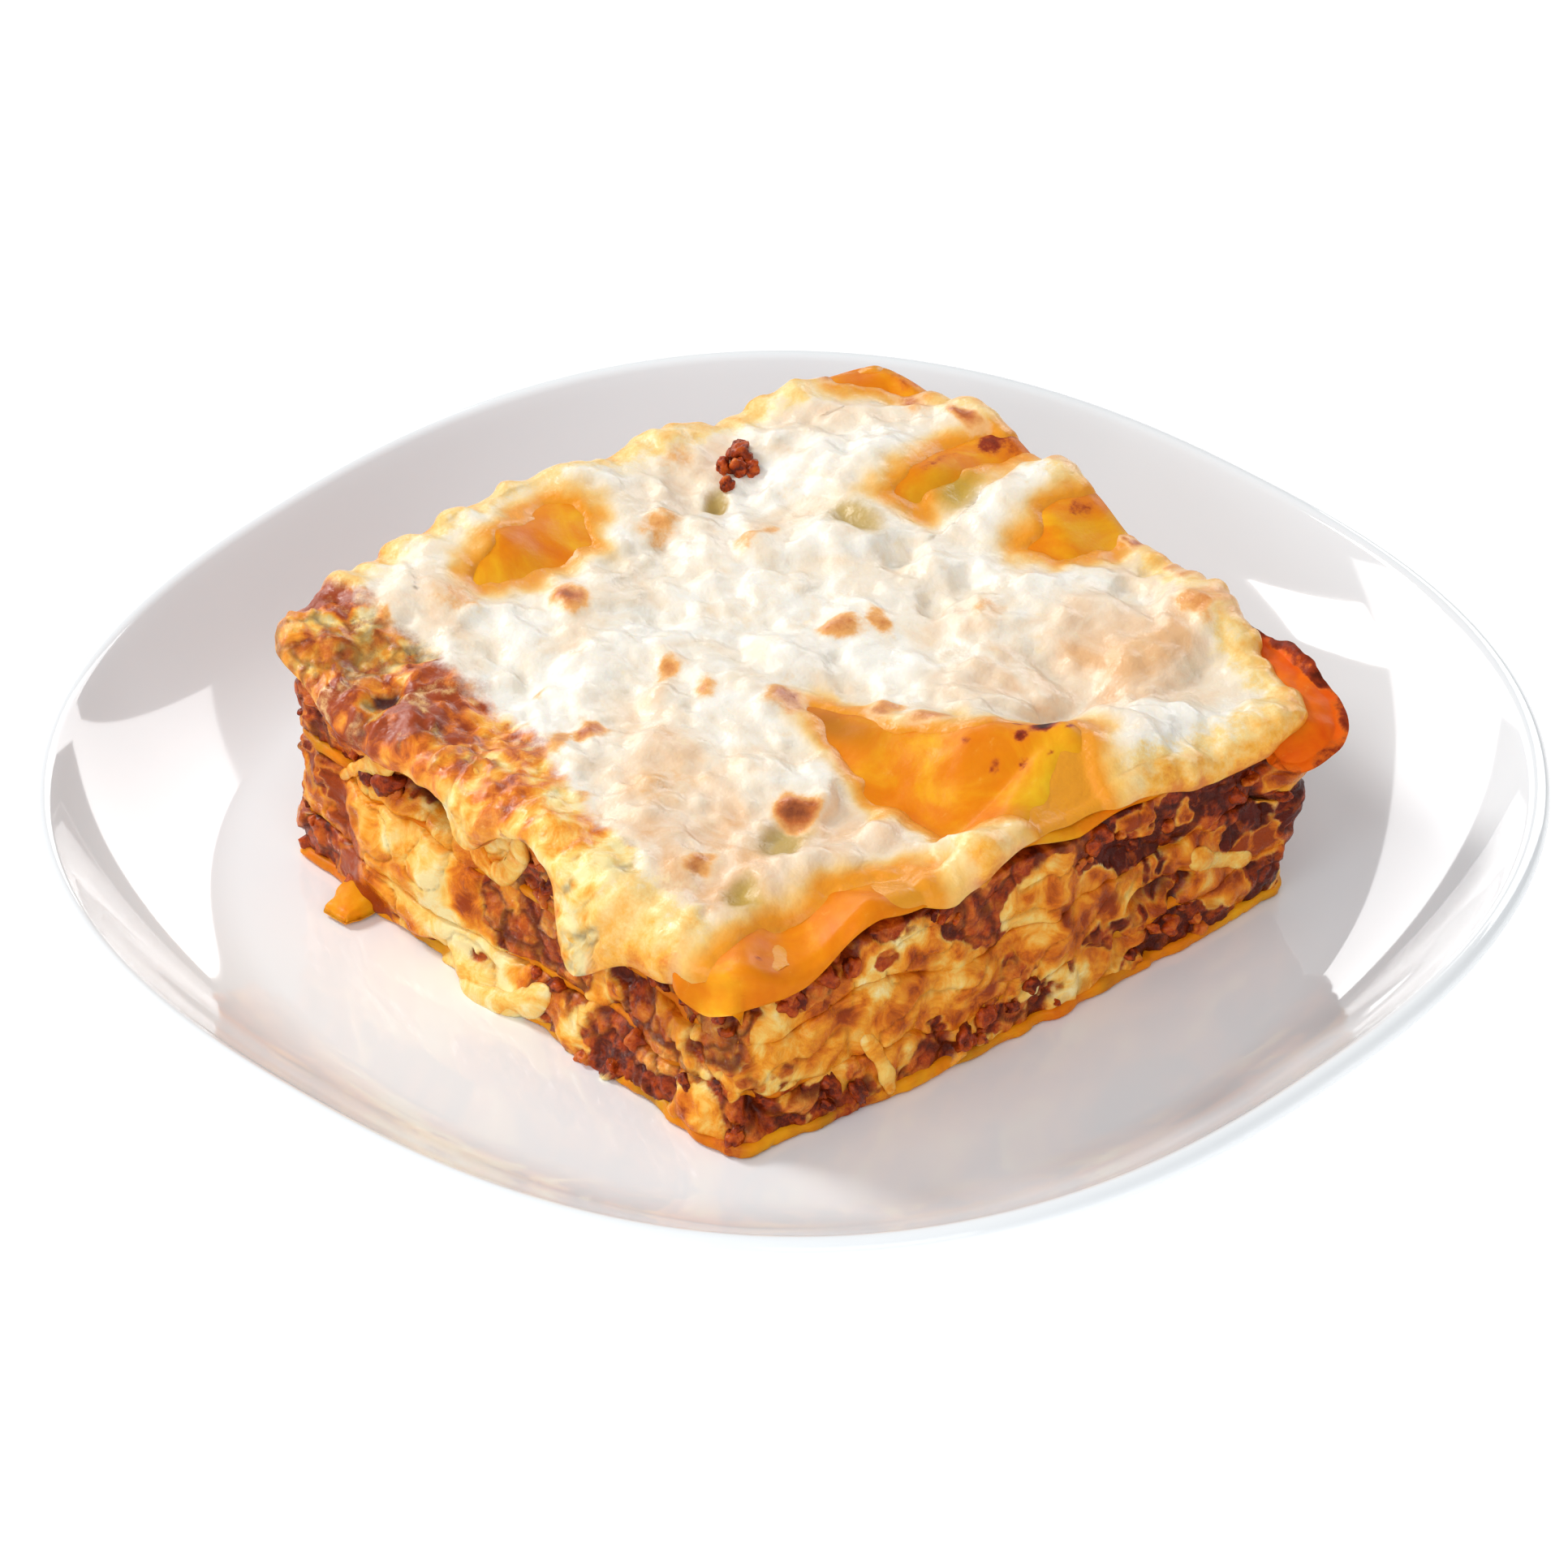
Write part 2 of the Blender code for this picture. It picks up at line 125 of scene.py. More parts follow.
class Graph:
    """A material whose Principled shader is fed by small helper calls."""

    def __init__(self, name, **values):
        self.material = bpy.data.materials.new(name)
        self.material.use_nodes = True
        self.tree = self.material.node_tree
        self.shader = self.tree.nodes["Principled BSDF"]
        self.place = self.tree.nodes.new("ShaderNodeTexCoord").outputs["Object"]
        for key, value in values.items():
            self.shader.inputs[key.replace("_", " ")].default_value = value

    def node(self, kind, inputs, **settings):
        made = self.tree.nodes.new(kind)
        for key, value in settings.items():
            setattr(made, key, value)
        for key, value in inputs.items():
            if isinstance(value, bpy.types.NodeSocket):
                self.tree.links.new(value, made.inputs[key])
            else:
                made.inputs[key].default_value = value
        return made

    def noise(self, size, detail=3.0, roughness=0.55, distortion=0.0):
        """Noise from 0 to 1, whose lumps are this many mm wide."""
        inputs = {"Vector": self.place, "Scale": 1000.0 / size, "Detail": detail}
        inputs |= {"Roughness": roughness, "Distortion": distortion}
        return self.node("ShaderNodeTexNoise", inputs).outputs["Fac"]

    def wobble(self, amount, *noise):
        """Noise round 0, from minus half to plus half of this amount."""
        return self.math("MULTIPLY", self.math("SUBTRACT", self.noise(*noise), 0.5), amount)

    def mask(self, name):
        return self.node("ShaderNodeAttribute", {}, attribute_name=name).outputs["Fac"]

    def ramp(self, value, *stops):
        """Maps a value through stops of (place, colour)."""
        made = self.node("ShaderNodeValToRGB", {"Fac": value})
        elements = made.color_ramp.elements
        while len(elements) < len(stops):
            elements.new(0.5)
        for element, (place, colour) in zip(elements, stops):
            element.position = place
            element.color = (*colour, 1.0) if len(colour) == 3 else colour
        return made.outputs["Color"]

    def math(self, operation, a, b):
        return self.node("ShaderNodeMath", {0: a, 1: b}, operation=operation, use_clamp=False).outputs[0]

    def span(self, value, low, high, to_low=0.0, to_high=1.0):
        inputs = {"Value": value, "From Min": low, "From Max": high, "To Min": to_low, "To Max": to_high}
        return self.node("ShaderNodeMapRange", inputs, interpolation_type="SMOOTHSTEP").outputs["Result"]

    def mix(self, factor, a, b):
        made = self.tree.nodes.new("ShaderNodeMix")
        made.data_type = "RGBA"
        sockets = (made.inputs[0], made.inputs[6], made.inputs[7])
        for socket, value in zip(sockets, (factor, a, b)):
            if isinstance(value, bpy.types.NodeSocket):
                self.tree.links.new(value, socket)
            elif isinstance(value, (int, float)):
                socket.default_value = value
            else:
                socket.default_value = (*value, 1.0)
        return made.outputs[2]

    def bump(self, height, distance_mm, strength=1.0, under=None):
        inputs = {"Height": height, "Distance": distance_mm * MM, "Strength": strength}
        if under is not None:
            inputs["Normal"] = under
        return self.node("ShaderNodeBump", inputs).outputs["Normal"]

    def feed(self, name, socket):
        self.tree.links.new(socket, self.shader.inputs[name])


def filling_colour(g):
    """Mince and sauce. Masks: "meat" picks between them, "tone" tells lumps apart, "deep" is painted shade in
    gaps.
    """
    wander = g.wobble(1.3, 4.5, 5.0, 0.7, 1.0)
    tone = g.math("ADD", g.mask("tone"), wander)
    cream = g.ramp(tone, (0.0, (0.95, 0.78, 0.38)), (0.28, (0.94, 0.58, 0.13)), (0.52, (0.89, 0.34, 0.022)),
                   (0.76, (0.68, 0.16, 0.006)), (1.0, (0.34, 0.05, 0.004)))
    spread = g.wobble(1.1, 1.6, 5.0, 0.72, 0.4)
    meat = g.ramp(g.math("ADD", g.mask("tone"), spread), (0.05, (0.11, 0.010, 0.002)),
                  (0.3, (0.42, 0.052, 0.005)), (0.55, (0.66, 0.16, 0.014)), (0.8, (0.86, 0.35, 0.05)),
                  (1.0, (0.93, 0.60, 0.24)))
    oil = g.span(g.noise(3.6, 5.0, 0.68, 1.0), 0.52, 0.62)
    meat = g.mix(g.math("MULTIPLY", oil, 0.45), meat, (0.56, 0.10, 0.005))
    blur = g.wobble(1.0, 1.3, 5.0, 0.75)
    colour = g.mix(g.span(g.math("ADD", g.mask("meat"), blur), 0.2, 0.8), cream, meat)
    # Painted shade: near black where the "deep" mask marks gaps and hollows
    return g.mix(g.mask("deep"), colour, (0.06, 0.007, 0.002))


def filling_material(name, coat):
    g = Graph(name, Subsurface_Weight=0.12, Subsurface_Scale=0.002, Coat_Weight=coat, Coat_Roughness=0.12,
              Specular_IOR_Level=0.14)
    g.shader.inputs["Subsurface Radius"].default_value = (1.0, 0.4, 0.15)
    g.feed("Base Color", filling_colour(g))
    g.feed("Roughness", g.span(g.noise(1.5, 3.0), 0.3, 0.7, 0.18, 0.45))
    fine = g.bump(g.noise(0.6, 3.0, 0.7), 0.2, 0.35)
    g.feed("Normal", g.bump(g.noise(1.8, 4.0, 0.65), 0.5, 0.5, fine))
    return g.material


def cheese_material():
    """Melted cheese. Masks: "brown" is toasted, "oil" a see-through dip, "rim" golden, "side" filling, "warm"
    darker and more tan, "thin" lets the sheet show through."""
    g = Graph("melted_cheese", Subsurface_Weight=0.2, Subsurface_Scale=0.003, Coat_Weight=0.08,
              Coat_Roughness=0.22, Specular_IOR_Level=0.3)
    g.shader.inputs["Subsurface Radius"].default_value = (1.0, 0.7, 0.4)
    broad = g.noise(13.0, 5.0, 0.6, 0.8)
    broad = g.math("SUBTRACT", broad, g.math("MULTIPLY", g.mask("warm"), 0.32))
    colour = g.ramp(broad, (0.08, (0.80, 0.48, 0.24)), (0.25, (0.87, 0.66, 0.46)),
                    (0.40, (0.88, 0.76, 0.60)), (0.58, (0.91, 0.87, 0.785)))
    freckle = g.span(g.noise(3.4, 4.0, 0.6), 0.60, 0.74)
    colour = g.mix(g.math("MULTIPLY", freckle, 0.45), colour, (0.90, 0.68, 0.40))
    ragged = g.wobble(1.3, 5.0, 5.0, 0.7)
    rim = g.math("ADD", g.mask("rim"), ragged)
    golden = g.ramp(rim, (0.2, (0.93, 0.82, 0.56)), (0.5, (0.93, 0.66, 0.26)), (0.8, (0.90, 0.43, 0.05)),
                    (1.0, (0.74, 0.22, 0.014)))
    colour = g.mix(g.span(rim, 0.1, 0.5), colour, golden)
    thin = g.math("ADD", g.mask("thin"), g.wobble(0.4, 4.0, 4.0, 0.6))
    sheet = g.ramp(thin, (0.25, (0.90, 0.74, 0.46)), (0.6, (0.89, 0.54, 0.14)), (0.9, (0.84, 0.31, 0.010)))
    colour = g.mix(g.span(thin, 0.1, 0.8), colour, sheet)
    seen = g.math("ADD", g.mask("oil"), g.wobble(0.5, 2.5, 4.0, 0.65))
    colour = g.mix(g.span(seen, 0.15, 0.95, 0.0, 0.85), colour, (0.50, 0.32, 0.035))
    speckle = g.wobble(0.45, 1.8, 4.0, 0.65)
    brown = g.math("ADD", g.mask("brown"), speckle)
    toast = g.ramp(brown, (0.12, (0.93, 0.72, 0.45)), (0.4, (0.84, 0.42, 0.13)), (0.65, (0.55, 0.15, 0.03)),
                   (0.95, (0.12, 0.016, 0.006)))
    colour = g.mix(g.span(brown, 0.08, 0.42), colour, toast)
    side = g.math("ADD", g.mask("side"), g.wobble(0.7, 2.5, 4.0, 0.7))
    g.feed("Base Color", g.mix(g.span(side, 0.2, 0.8), colour, filling_colour(g)))
    g.feed("Roughness", g.span(g.noise(4.0, 3.0), 0.3, 0.7, 0.28, 0.48))
    fine = g.bump(g.noise(1.1, 4.0, 0.6), 0.2, 0.25)
    g.feed("Normal", g.bump(g.noise(3.2, 3.0, 0.55), 0.9, 0.55, fine))
    return g.material


def pasta_material(name, pale, mid, deep, shine):
    """Soft egg pasta. Masks: "scorch" runs to a charred rim, "shade" is painted shade on the folds and darker
    patches at random on cut edges, and the paleness mask is painted light and shade on facets, a paler tone
    elsewhere.
    """
    g = Graph(name, Subsurface_Weight=0.12, Subsurface_Scale=0.003, Coat_Weight=0.2 * shine,
              Coat_Roughness=0.15, Specular_IOR_Level=shine)
    g.shader.inputs["Subsurface Radius"].default_value = (1.0, 0.45, 0.15)
    wander = g.wobble(0.8, 10.0, 5.0, 0.6, 0.5)
    # The paleness mask paints light and shade on the top sheet's fold facets, and gives a paler tone
    # elsewhere
    tone = g.math("ADD", g.math("ADD", wander, 0.5), g.mask("pale_and_painted_light"))
    colour = g.ramp(tone, (0.25, deep), (0.5, mid), (0.8, pale))
    milky = g.span(g.noise(3.0, 5.0, 0.7), 0.60, 0.75)
    colour = g.mix(g.math("MULTIPLY", milky, 0.25), colour, (0.93, 0.58, 0.12))
    # The "shade" mask mixes in dark brown: painted shade on the top sheet's folds, darker patches at random
    # on the cut edges
    colour = g.mix(g.mask("shade"), colour, (0.30, 0.14, 0.01))
    speckle = g.wobble(0.7, 1.6, 4.0, 0.7)
    heat = g.math("ADD", g.mask("scorch"), speckle)
    burnt = g.ramp(heat, (0.3, (0.76, 0.17, 0.02)), (0.6, (0.30, 0.035, 0.008)), (0.9, (0.05, 0.008, 0.004)))
    colour = g.mix(g.span(heat, 0.25, 0.6), colour, burnt)
    g.feed("Base Color", colour)
    g.feed("Roughness", g.span(g.noise(3.0, 3.0), 0.3, 0.7, 0.30, 0.52))
    fine = g.bump(g.noise(0.7, 3.0, 0.6), 0.15, 0.3)
    g.feed("Normal", g.bump(g.noise(4.0, 3.0, 0.55), 0.5, 0.35, fine))
    return g.material


def porcelain_material():
    """White glaze, with the bare grey-beige body where the foot ring is wiped."""
    g = Graph("glazed_porcelain", Roughness=0.07, Coat_Weight=0.3, Coat_Roughness=0.03)
    tint = g.ramp(g.noise(60.0, 2.0), (0.35, (0.87, 0.905, 0.935)), (0.65, (0.90, 0.93, 0.955)))
    bare = g.mix(g.noise(0.8, 3.0), (0.70, 0.66, 0.60), (0.80, 0.77, 0.72))
    foot = g.mask("foot")
    g.feed("Base Color", g.mix(foot, tint, bare))
    ripple = g.noise(25.0, 1.0)
    g.feed("Roughness", g.span(g.math("ADD", foot, g.math("MULTIPLY", ripple, 0.02)), 0.0, 1.0, 0.06, 0.6))
    g.feed("Normal", g.bump(ripple, 0.25, 0.15))
    return g.material


# ---------------------------------------------------------------- mesh helpers

def grid_faces(rows, columns, wrap):
    """Quads of a rows by columns block of points. wrap joins the last column to the first."""
    across = columns if wrap else columns - 1
    row, column = np.meshgrid(np.arange(rows - 1), np.arange(across), indexing="ij")
    start = row * columns
    after = (column + 1) % columns
    corners = (start + column, start + after, start + columns + after, start + columns + column)
    return np.stack(corners, axis=-1).reshape(-1, 4)


def unit_grid(rows, columns, first=0.0):
    """Shares at a block's points: along its rows from 0 to 1, and along its columns from first to 1."""
    axes = np.meshgrid(np.linspace(0, 1, rows), np.linspace(first, 1, columns), indexing="ij")
    return (axis.ravel() for axis in axes)


def end_fans(count, total):
    """Triangles that close a tube of rings of count points, whose two middles follow its total points."""
    index = np.arange(count)
    after = (index + 1) % count
    last = total - count
    first_fan = np.column_stack([np.full(count, total), after, index])
    last_fan = np.column_stack([np.full(count, total + 1), last + index, last + after])
    return np.concatenate([first_fan, last_fan])


def shell_faces(rows, columns):
    """Faces of a closed shell, whose upper block of points is followed by its lower one."""
    faces = grid_faces(rows, columns, False)
    count = rows * columns
    index = np.arange(count).reshape(rows, columns)
    rim = np.concatenate([index[:-1, 0], index[-1, :-1], index[:0:-1, -1], index[0, :0:-1]])
    after = np.roll(rim, -1)
    wall = np.column_stack([rim, after, after + count, rim + count])
    return np.concatenate([faces, faces[:, ::-1] + count, wall[:, ::-1]])


def signed_volume(points, faces):
    total = 0.0
    for face in (faces[:, :3], faces[:, [0, 2, 3]]) if faces.shape[1] == 4 else (faces,):
        a, b, c = (points[face[:, k]] for k in range(3))
        total += np.einsum("ij,ij->i", a, np.cross(b, c)).sum()
    return total


def unit_ball(subdivisions):
    """Points and triangles of a sphere of radius 1."""
    bm = bmesh.new()
    bmesh.ops.create_icosphere(bm, subdivisions=subdivisions, radius=1.0)
    points = np.array([vertex.co[:] for vertex in bm.verts])
    faces = np.array([[vertex.index for vertex in face.verts] for face in bm.faces])
    bm.free()
    return points, faces


def add_piece(name, points, faces, material, nodes=(), masks=None):
    """A smooth closed piece that rides on the root body. nodes are the CAD nodes that it stands for."""
    blocks = faces if isinstance(faces, list) else [faces]
    if sum(signed_volume(points, block) for block in blocks) < 0:
        blocks = [block[:, ::-1] for block in blocks]
    mesh = bpy.data.meshes.new(name)
    mesh.from_pydata(points.tolist(), [], [face for block in blocks for face in block.tolist()])
    mesh.shade_smooth()
    for mask, values in (masks or {}).items():
        attribute = mesh.attributes.new(mask, "FLOAT", "POINT")
        attribute.data.foreach_set("value", np.asarray(values, np.float32))
    mesh.materials.append(material)
    piece = bpy.data.objects.new(name, mesh)
    bpy.context.scene.collection.objects.link(piece)
    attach(piece, "root")
    if nodes:
        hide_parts(*nodes)
    return piece


def node_points(node):
    return np.array([vertex.co[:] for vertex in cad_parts[node].data.vertices])


# ---------------------------------------------------------------- the slice's outline

OUTLINE_GROWTH = 0.6  # mm
SPREAD_LOW, SPREAD_HIGH = 8.0, 27.0  # mm, from the full spread of the lower layers at the cut corner to none


def low_corner(points):
    """Plan point of a layer's cut corner."""
    return points[np.argmin(points[:, 0] + points[:, 1]), :2]


class Outline:
    """The slice's plan outline, read from its upper ragu. Columns run anticlockwise from the cut corner."""

    def __init__(self):
        plan = node_points("ragu_upper")[:, :2]
        hull = plan[geometry.convex_hull_2d(plan.tolist())]
        following = np.roll(hull, -1, axis=0)
        if (hull[:, 0] * following[:, 1] - hull[:, 1] * following[:, 0]).sum() < 0:
            hull = hull[::-1]
        hull = np.roll(hull, -int(np.argmin(hull.sum(axis=1))), axis=0)
        corners = [0, np.argmax(hull[:, 0] - hull[:, 1]), np.argmax(hull.sum(axis=1)),
                   np.argmin(hull[:, 0] - hull[:, 1]), len(hull)]
        loop = np.concatenate([hull, hull[:1]])
        sides = []
        for start, end in zip(corners[:-1], corners[1:]):
            side = loop[start : end + 1]
            run = np.concatenate([[0.0], np.cumsum(np.linalg.norm(np.diff(side, axis=0), axis=1))])
            count = int(round(run[-1] / (COLUMN_SPACING * MM)))
            places = np.linspace(0.0, run[-1], count, endpoint=False)
            sides.append(np.stack([np.interp(places, run, side[:, k]) for k in (0, 1)], axis=1))
        self.starts = np.cumsum([0] + [len(side) for side in sides])
        self.count = int(self.starts[-1])
        xy = np.concatenate(sides)
        self.xy = np.stack([closed_blur(xy[:, k], 4) for k in (0, 1)], axis=1)
        ahead = np.roll(self.xy, -1, axis=0) - np.roll(self.xy, 1, axis=0)
        normal = np.stack([ahead[:, 1], -ahead[:, 0]], axis=1)
        normal /= np.linalg.norm(normal, axis=1)[:, None]
        normal = np.stack([closed_blur(normal[:, k], 7) for k in (0, 1)], axis=1)
        self.normal = normal / np.linalg.norm(normal, axis=1)[:, None]
        steps = np.linalg.norm(np.roll(self.xy, -1, axis=0) - self.xy, axis=1)
        self.run = np.concatenate([[0.0], np.cumsum(steps)[:-1]]) / MM
        self.length = steps.sum() / MM
        self.xy += self.normal * OUTLINE_GROWTH * MM
        self.centre = self.xy.mean(axis=0)
        column = np.arange(self.count)
        on_front = 1.0 - column / self.starts[1]
        on_left = (column - self.starts[3]) / (self.count - self.starts[3])
        share = closed_blur(np.maximum(0.0, np.maximum(on_front, on_left)), 6)
        self.spread = share[:, None] * (low_corner(node_points("pasta_sheet_bottom")) - low_corner(plan))

    def along(self, place):
        """Distance in mm of each column from a place on the outline, positive onwards."""
        return (self.run - place + self.length / 2) % self.length - self.length / 2

    def spread_at(self, z):
        """Share of the spread at this height."""
        return np.clip((SPREAD_HIGH - z / MM) / (SPREAD_HIGH - SPREAD_LOW), 0.0, 1.0)

    def edge_levels(self, node):
        """Lowest and highest z of a CAD layer beside each column."""
        points = node_points(node)
        distance = np.linalg.norm(self.xy[:, None, :] - points[None, :, :2], axis=2)
        near = distance < distance.min(axis=1)[:, None] + 2.0 * MM
        low = np.where(near, points[None, :, 2], np.inf).min(axis=1)
        high = np.where(near, points[None, :, 2], -np.inf).max(axis=1)
        return closed_blur(low, 16), closed_blur(high, 16)

    def at(self, values, column):
        """Values of the outline's columns, read between columns."""
        low = np.floor(column).astype(int)
        part = column - low
        part = part.reshape(part.shape + (1,) * (values.ndim - 1))
        return values[low % self.count] * (1.0 - part) + values[(low + 1) % self.count] * part

    def border_column(self, u, v):
        """Column of the border point that lies towards u, v from the middle of the square."""
        largest = np.maximum(np.maximum(np.abs(u), np.abs(v)), 1e-9)
        a, b = (u / largest + 1.0) / 2.0, (v / largest + 1.0) / 2.0
        on_front = (-v >= np.abs(u))
        on_back = (v >= np.abs(u)) & ~on_front
        on_right = (u > np.abs(v))
        counts = np.diff(self.starts)
        column = self.starts[3] + (1.0 - b) * counts[3]
        column = np.where(on_right, self.starts[1] + b * counts[1], column)
        column = np.where(on_back, self.starts[2] + (1.0 - a) * counts[2], column)
        return np.where(on_front, self.starts[0] + a * counts[0], column)

    def inside(self, u, v):
        """Plan points of a square patch stretched between the four sides, for u and v from -1 to 1."""
        a, b = (u + 1.0) / 2.0, (v + 1.0) / 2.0
        counts = np.diff(self.starts)
        front = self.at(self.xy, self.starts[0] + a * counts[0])
        right = self.at(self.xy, self.starts[1] + b * counts[1])
        back = self.at(self.xy, self.starts[2] + (1.0 - a) * counts[2])
        left = self.at(self.xy, self.starts[3] + (1.0 - b) * counts[3])
        cut_p, right_p, back_p, left_p = self.xy[self.starts[:4]]
        a, b = a[:, None], b[:, None]
        ruled = (1 - b) * front + b * back + (1 - a) * left + a * right
        corners = (1 - a) * (1 - b) * cut_p + a * (1 - b) * right_p + a * b * back_p + (1 - a) * b * left_p
        return ruled - corners


outline = Outline()


def place_bumps(rows):
    """Sum of bumps along the outline, from rows of (place, half width, height), all in mm."""
    total = np.zeros(outline.count)
    for place, half_width, height in rows:
        total += height * np.exp(-((outline.along(place) / half_width) ** 2))
    return total


def outline_points(z):
    return np.column_stack([outline.xy, np.broadcast_to(z, outline.count)])


# ---------------------------------------------------------------- layers that show at the sides

INNER_RINGS = (0.5, 0.85, 0.965)  # shares of the way out, where a layer's top and underside have points

# What shows in the cut faces: place, height, half width, half height, turn in degrees, meat (+) or sauce (-),
# tone and bulge
FACE_BODIES = (
    (8, 34, 5.5, 3.2, -42, 0.9, -0.3, -0.6), (16, 35.5, 5, 2.4, 35, 0.6, -0.4, -4.5),
    (25, 31, 2, 1.8, 0, 0.7, -0.15, -0.4), (39, 32, 3.4, 3.6, 0, 0.9, -0.1, 0.8),
    (45, 27.5, 3.4, 2.8, 30, 0.9, -0.25, 0.3), (48, 34, 3.6, 1.9, 10, 0.8, -0.15, -0.8),
    (60, 37, 4.8, 3.2, -20, 0.8, 0.1, 0.6), (70.5, 30.5, 6, 2.9, -14, 0.9, -0.3, -1.6),
    (78, 19.5, 5, 2.4, 0, 0.6, -0.3, -3), (84, 38, 5, 3, -25, 0.9, -0.3, -1.6),
    (89, 33, 7, 5, -20, 1, -0.1, 0.8), (93, 26, 5.5, 4.2, -10, 0.9, 0, 1),
    (81, 10, 7.5, 2.8, 0, 0.6, -0.2, -0.4), (68, 16.5, 4, 1.6, 0, 0.6, 0.1, 0),
    (99, 14, 4.5, 4.5, 0, 0.9, -0.1, 0.6), (106, 24, 4, 7, 0, 0.9, -0.05, 3.5),
    (3, 13.5, 5, 1.8, -28, 0.6, -0.4, -3.2), (10, 12.5, 4, 1.6, 0, 0.5, 0.3, 0.6),
    (17, 11, 3.2, 1.7, 0, 0.6, -0.2, -0.8), (34, 11, 4.4, 2, -10, 0.6, -0.2, -0.6),
    (33, 17, 3, 1.5, -20, 0.6, 0.05, 0.2), (48, 11, 3.5, 1.8, -20, 0.5, 0, 0.3),
    (14, 19, 2.2, 1.8, 0, 0.7, 0.1, 0.3), (29, 40, 7, 3, -10, 0.6, 0.1, 0.3),
    (30, 27, 9.5, 4.6, -12, -0.9, -0.02, 0.9), (41, 21.5, 4, 3.2, -10, -0.9, -0.25, 1.6),
    (55, 23, 3.6, 4.5, 0, -0.9, -0.2, 1.4), (52, 28, 4.5, 5, 0, -0.8, 0.05, 0.6),
    (65, 25, 6, 4.6, -20, -0.9, 0.12, 0.8), (12, 24, 8.5, 5.5, 0, -0.8, 0.06, 0.8),
    (86, 22, 7, 2.4, -38, -0.9, -0.05, 1), (97, 19, 5, 2, -15, -0.8, 0.1, 0.6),
    (92, 13, 5, 2.6, 0, -0.8, -0.1, 0.8), (65, 11, 3.6, 2.8, 0, -0.9, -0.15, 1.2),
    (101, 34, 3.6, 5.5, 10, -0.7, 0.05, 2.5), (107, 33, 5, 6, 0, 0.8, 0, 3),
    (25, 16, 3.4, 4, 10, -0.9, -0.25, 1.2), (44, 16, 8, 2.4, -8, -0.5, 0.22, 0.4),
    (88, 16, 5, 2.5, 0, -0.6, 0.2, 0), (57, 33, 3, 2.5, 0, -0.6, 0.12, 0.6),
    (-14, 28, 9, 3.2, 0, 0.6, 0, -1), (-23, 27, 5.5, 4.5, -35, 0.9, -0.15, -1.2),
    (-28, 18, 3, 4.2, 30, 0.7, -0.3, -1.6), (-12, 19, 8, 6, 0, 0.2, 0.25, 0.8),
    (-20, 12, 8, 4.4, 0, 0.7, -0.05, 0.8), (-4, 26, 3.2, 3.4, 0, 0.4, 0.25, 0.5),
    (-1, 32, 3, 4.5, 25, 0.7, -0.4, -3), (-37, 22, 3, 3, 0, 0.7, -0.25, -1),
    (-44, 30, 7.5, 9, 0, 0.9, 0.22, -0.4), (-43, 20, 7.5, 6, 0, 0.8, 0.15, 0.2),
    (-54, 33, 4.2, 4.8, 0, -1, 0.1, 0.8), (-50, 39, 4.6, 3.6, 0, -1, -0.15, 1.6),
    (-54, 24.5, 3.2, 2, 0, 0.8, -0.15, -1), (-60, 24, 3, 5.5, 0, -0.6, 0.35, 0.6),
    (-68, 33, 7.5, 2.6, -5, 0.6, -0.4, -5), (-73, 20, 12, 9, -30, -1.4, -0.05, 3),
    (-67, 23, 3.2, 4, 20, -0.5, -0.25, 1), (-74, 26, 2.6, 4, 15, -0.5, -0.25, 1),
    (-82, 21, 3, 6, 25, -0.5, -0.22, 1.2), (-77, 15, 3.4, 3, 0, -0.4, 0.22, 0.6),
    (-89, 23, 4.2, 6, 10, -0.8, 0.35, -1.8), (-93, 25, 4.6, 4.6, 0, 1, -0.15, 0.8),
    (-96, 13, 4.2, 3.8, 0, 0.9, -0.1, 0.2), (-84, 10, 4, 4, 0, -0.4, 0.4, 0.8),
    (-66, 9, 6, 1.6, 0, 0.5, 0, -1.2), (-52, 8, 9, 3.2, 0, -1.1, -0.18, 2.2),
    (-46, 14, 5, 2.8, 0, -0.8, 0.18, 0.6), (-36, 9, 3.2, 6, 30, 0.2, 0.4, 0.6),
    (-26, 6, 8, 2.6, 0, 0.1, -0.25, 1), (-9, 11, 7, 2.2, 40, -0.6, 0.38, 0.8),
    (-80, 43, 8, 4.5, 25, -0.2, 0.35, 0.6), (-86, 37, 6, 2.6, 30, -0.6, 0.35, 1),
    (-88, 31, 4.5, 3.6, 0, 0.9, -0.12, -1), (-99, 42, 5, 6, 0, 0.9, 0.15, 0.8),
    (-93, 45, 4, 4, 0, 0.9, -0.15, -1.2), (-103, 30, 4, 8, 0, 0.6, 0.15, 0.2),
    (-101, 36, 3, 3, 0, -0.7, 0, 0.8), (-62, 44, 7, 3.6, 10, 0.1, 0.4, 0.6),
)


CLUMP_SIZE = 5.8  # mm across a clump of mince
GRAIN_SIZE = 2.9  # mm across a grain in it


def turned_spot(across, up, half_width, half_height, turn, power=1.0):
    """1 in the middle of an ellipse that is turned by some degrees, falling to 0 outside it."""
    angle = math.radians(turn)
    along = across * math.cos(angle) + up * math.sin(angle)
    beside = up * math.cos(angle) - across * math.sin(angle)
    return np.exp(-(((along / half_width) ** 2 + (beside / half_height) ** 2) ** power))


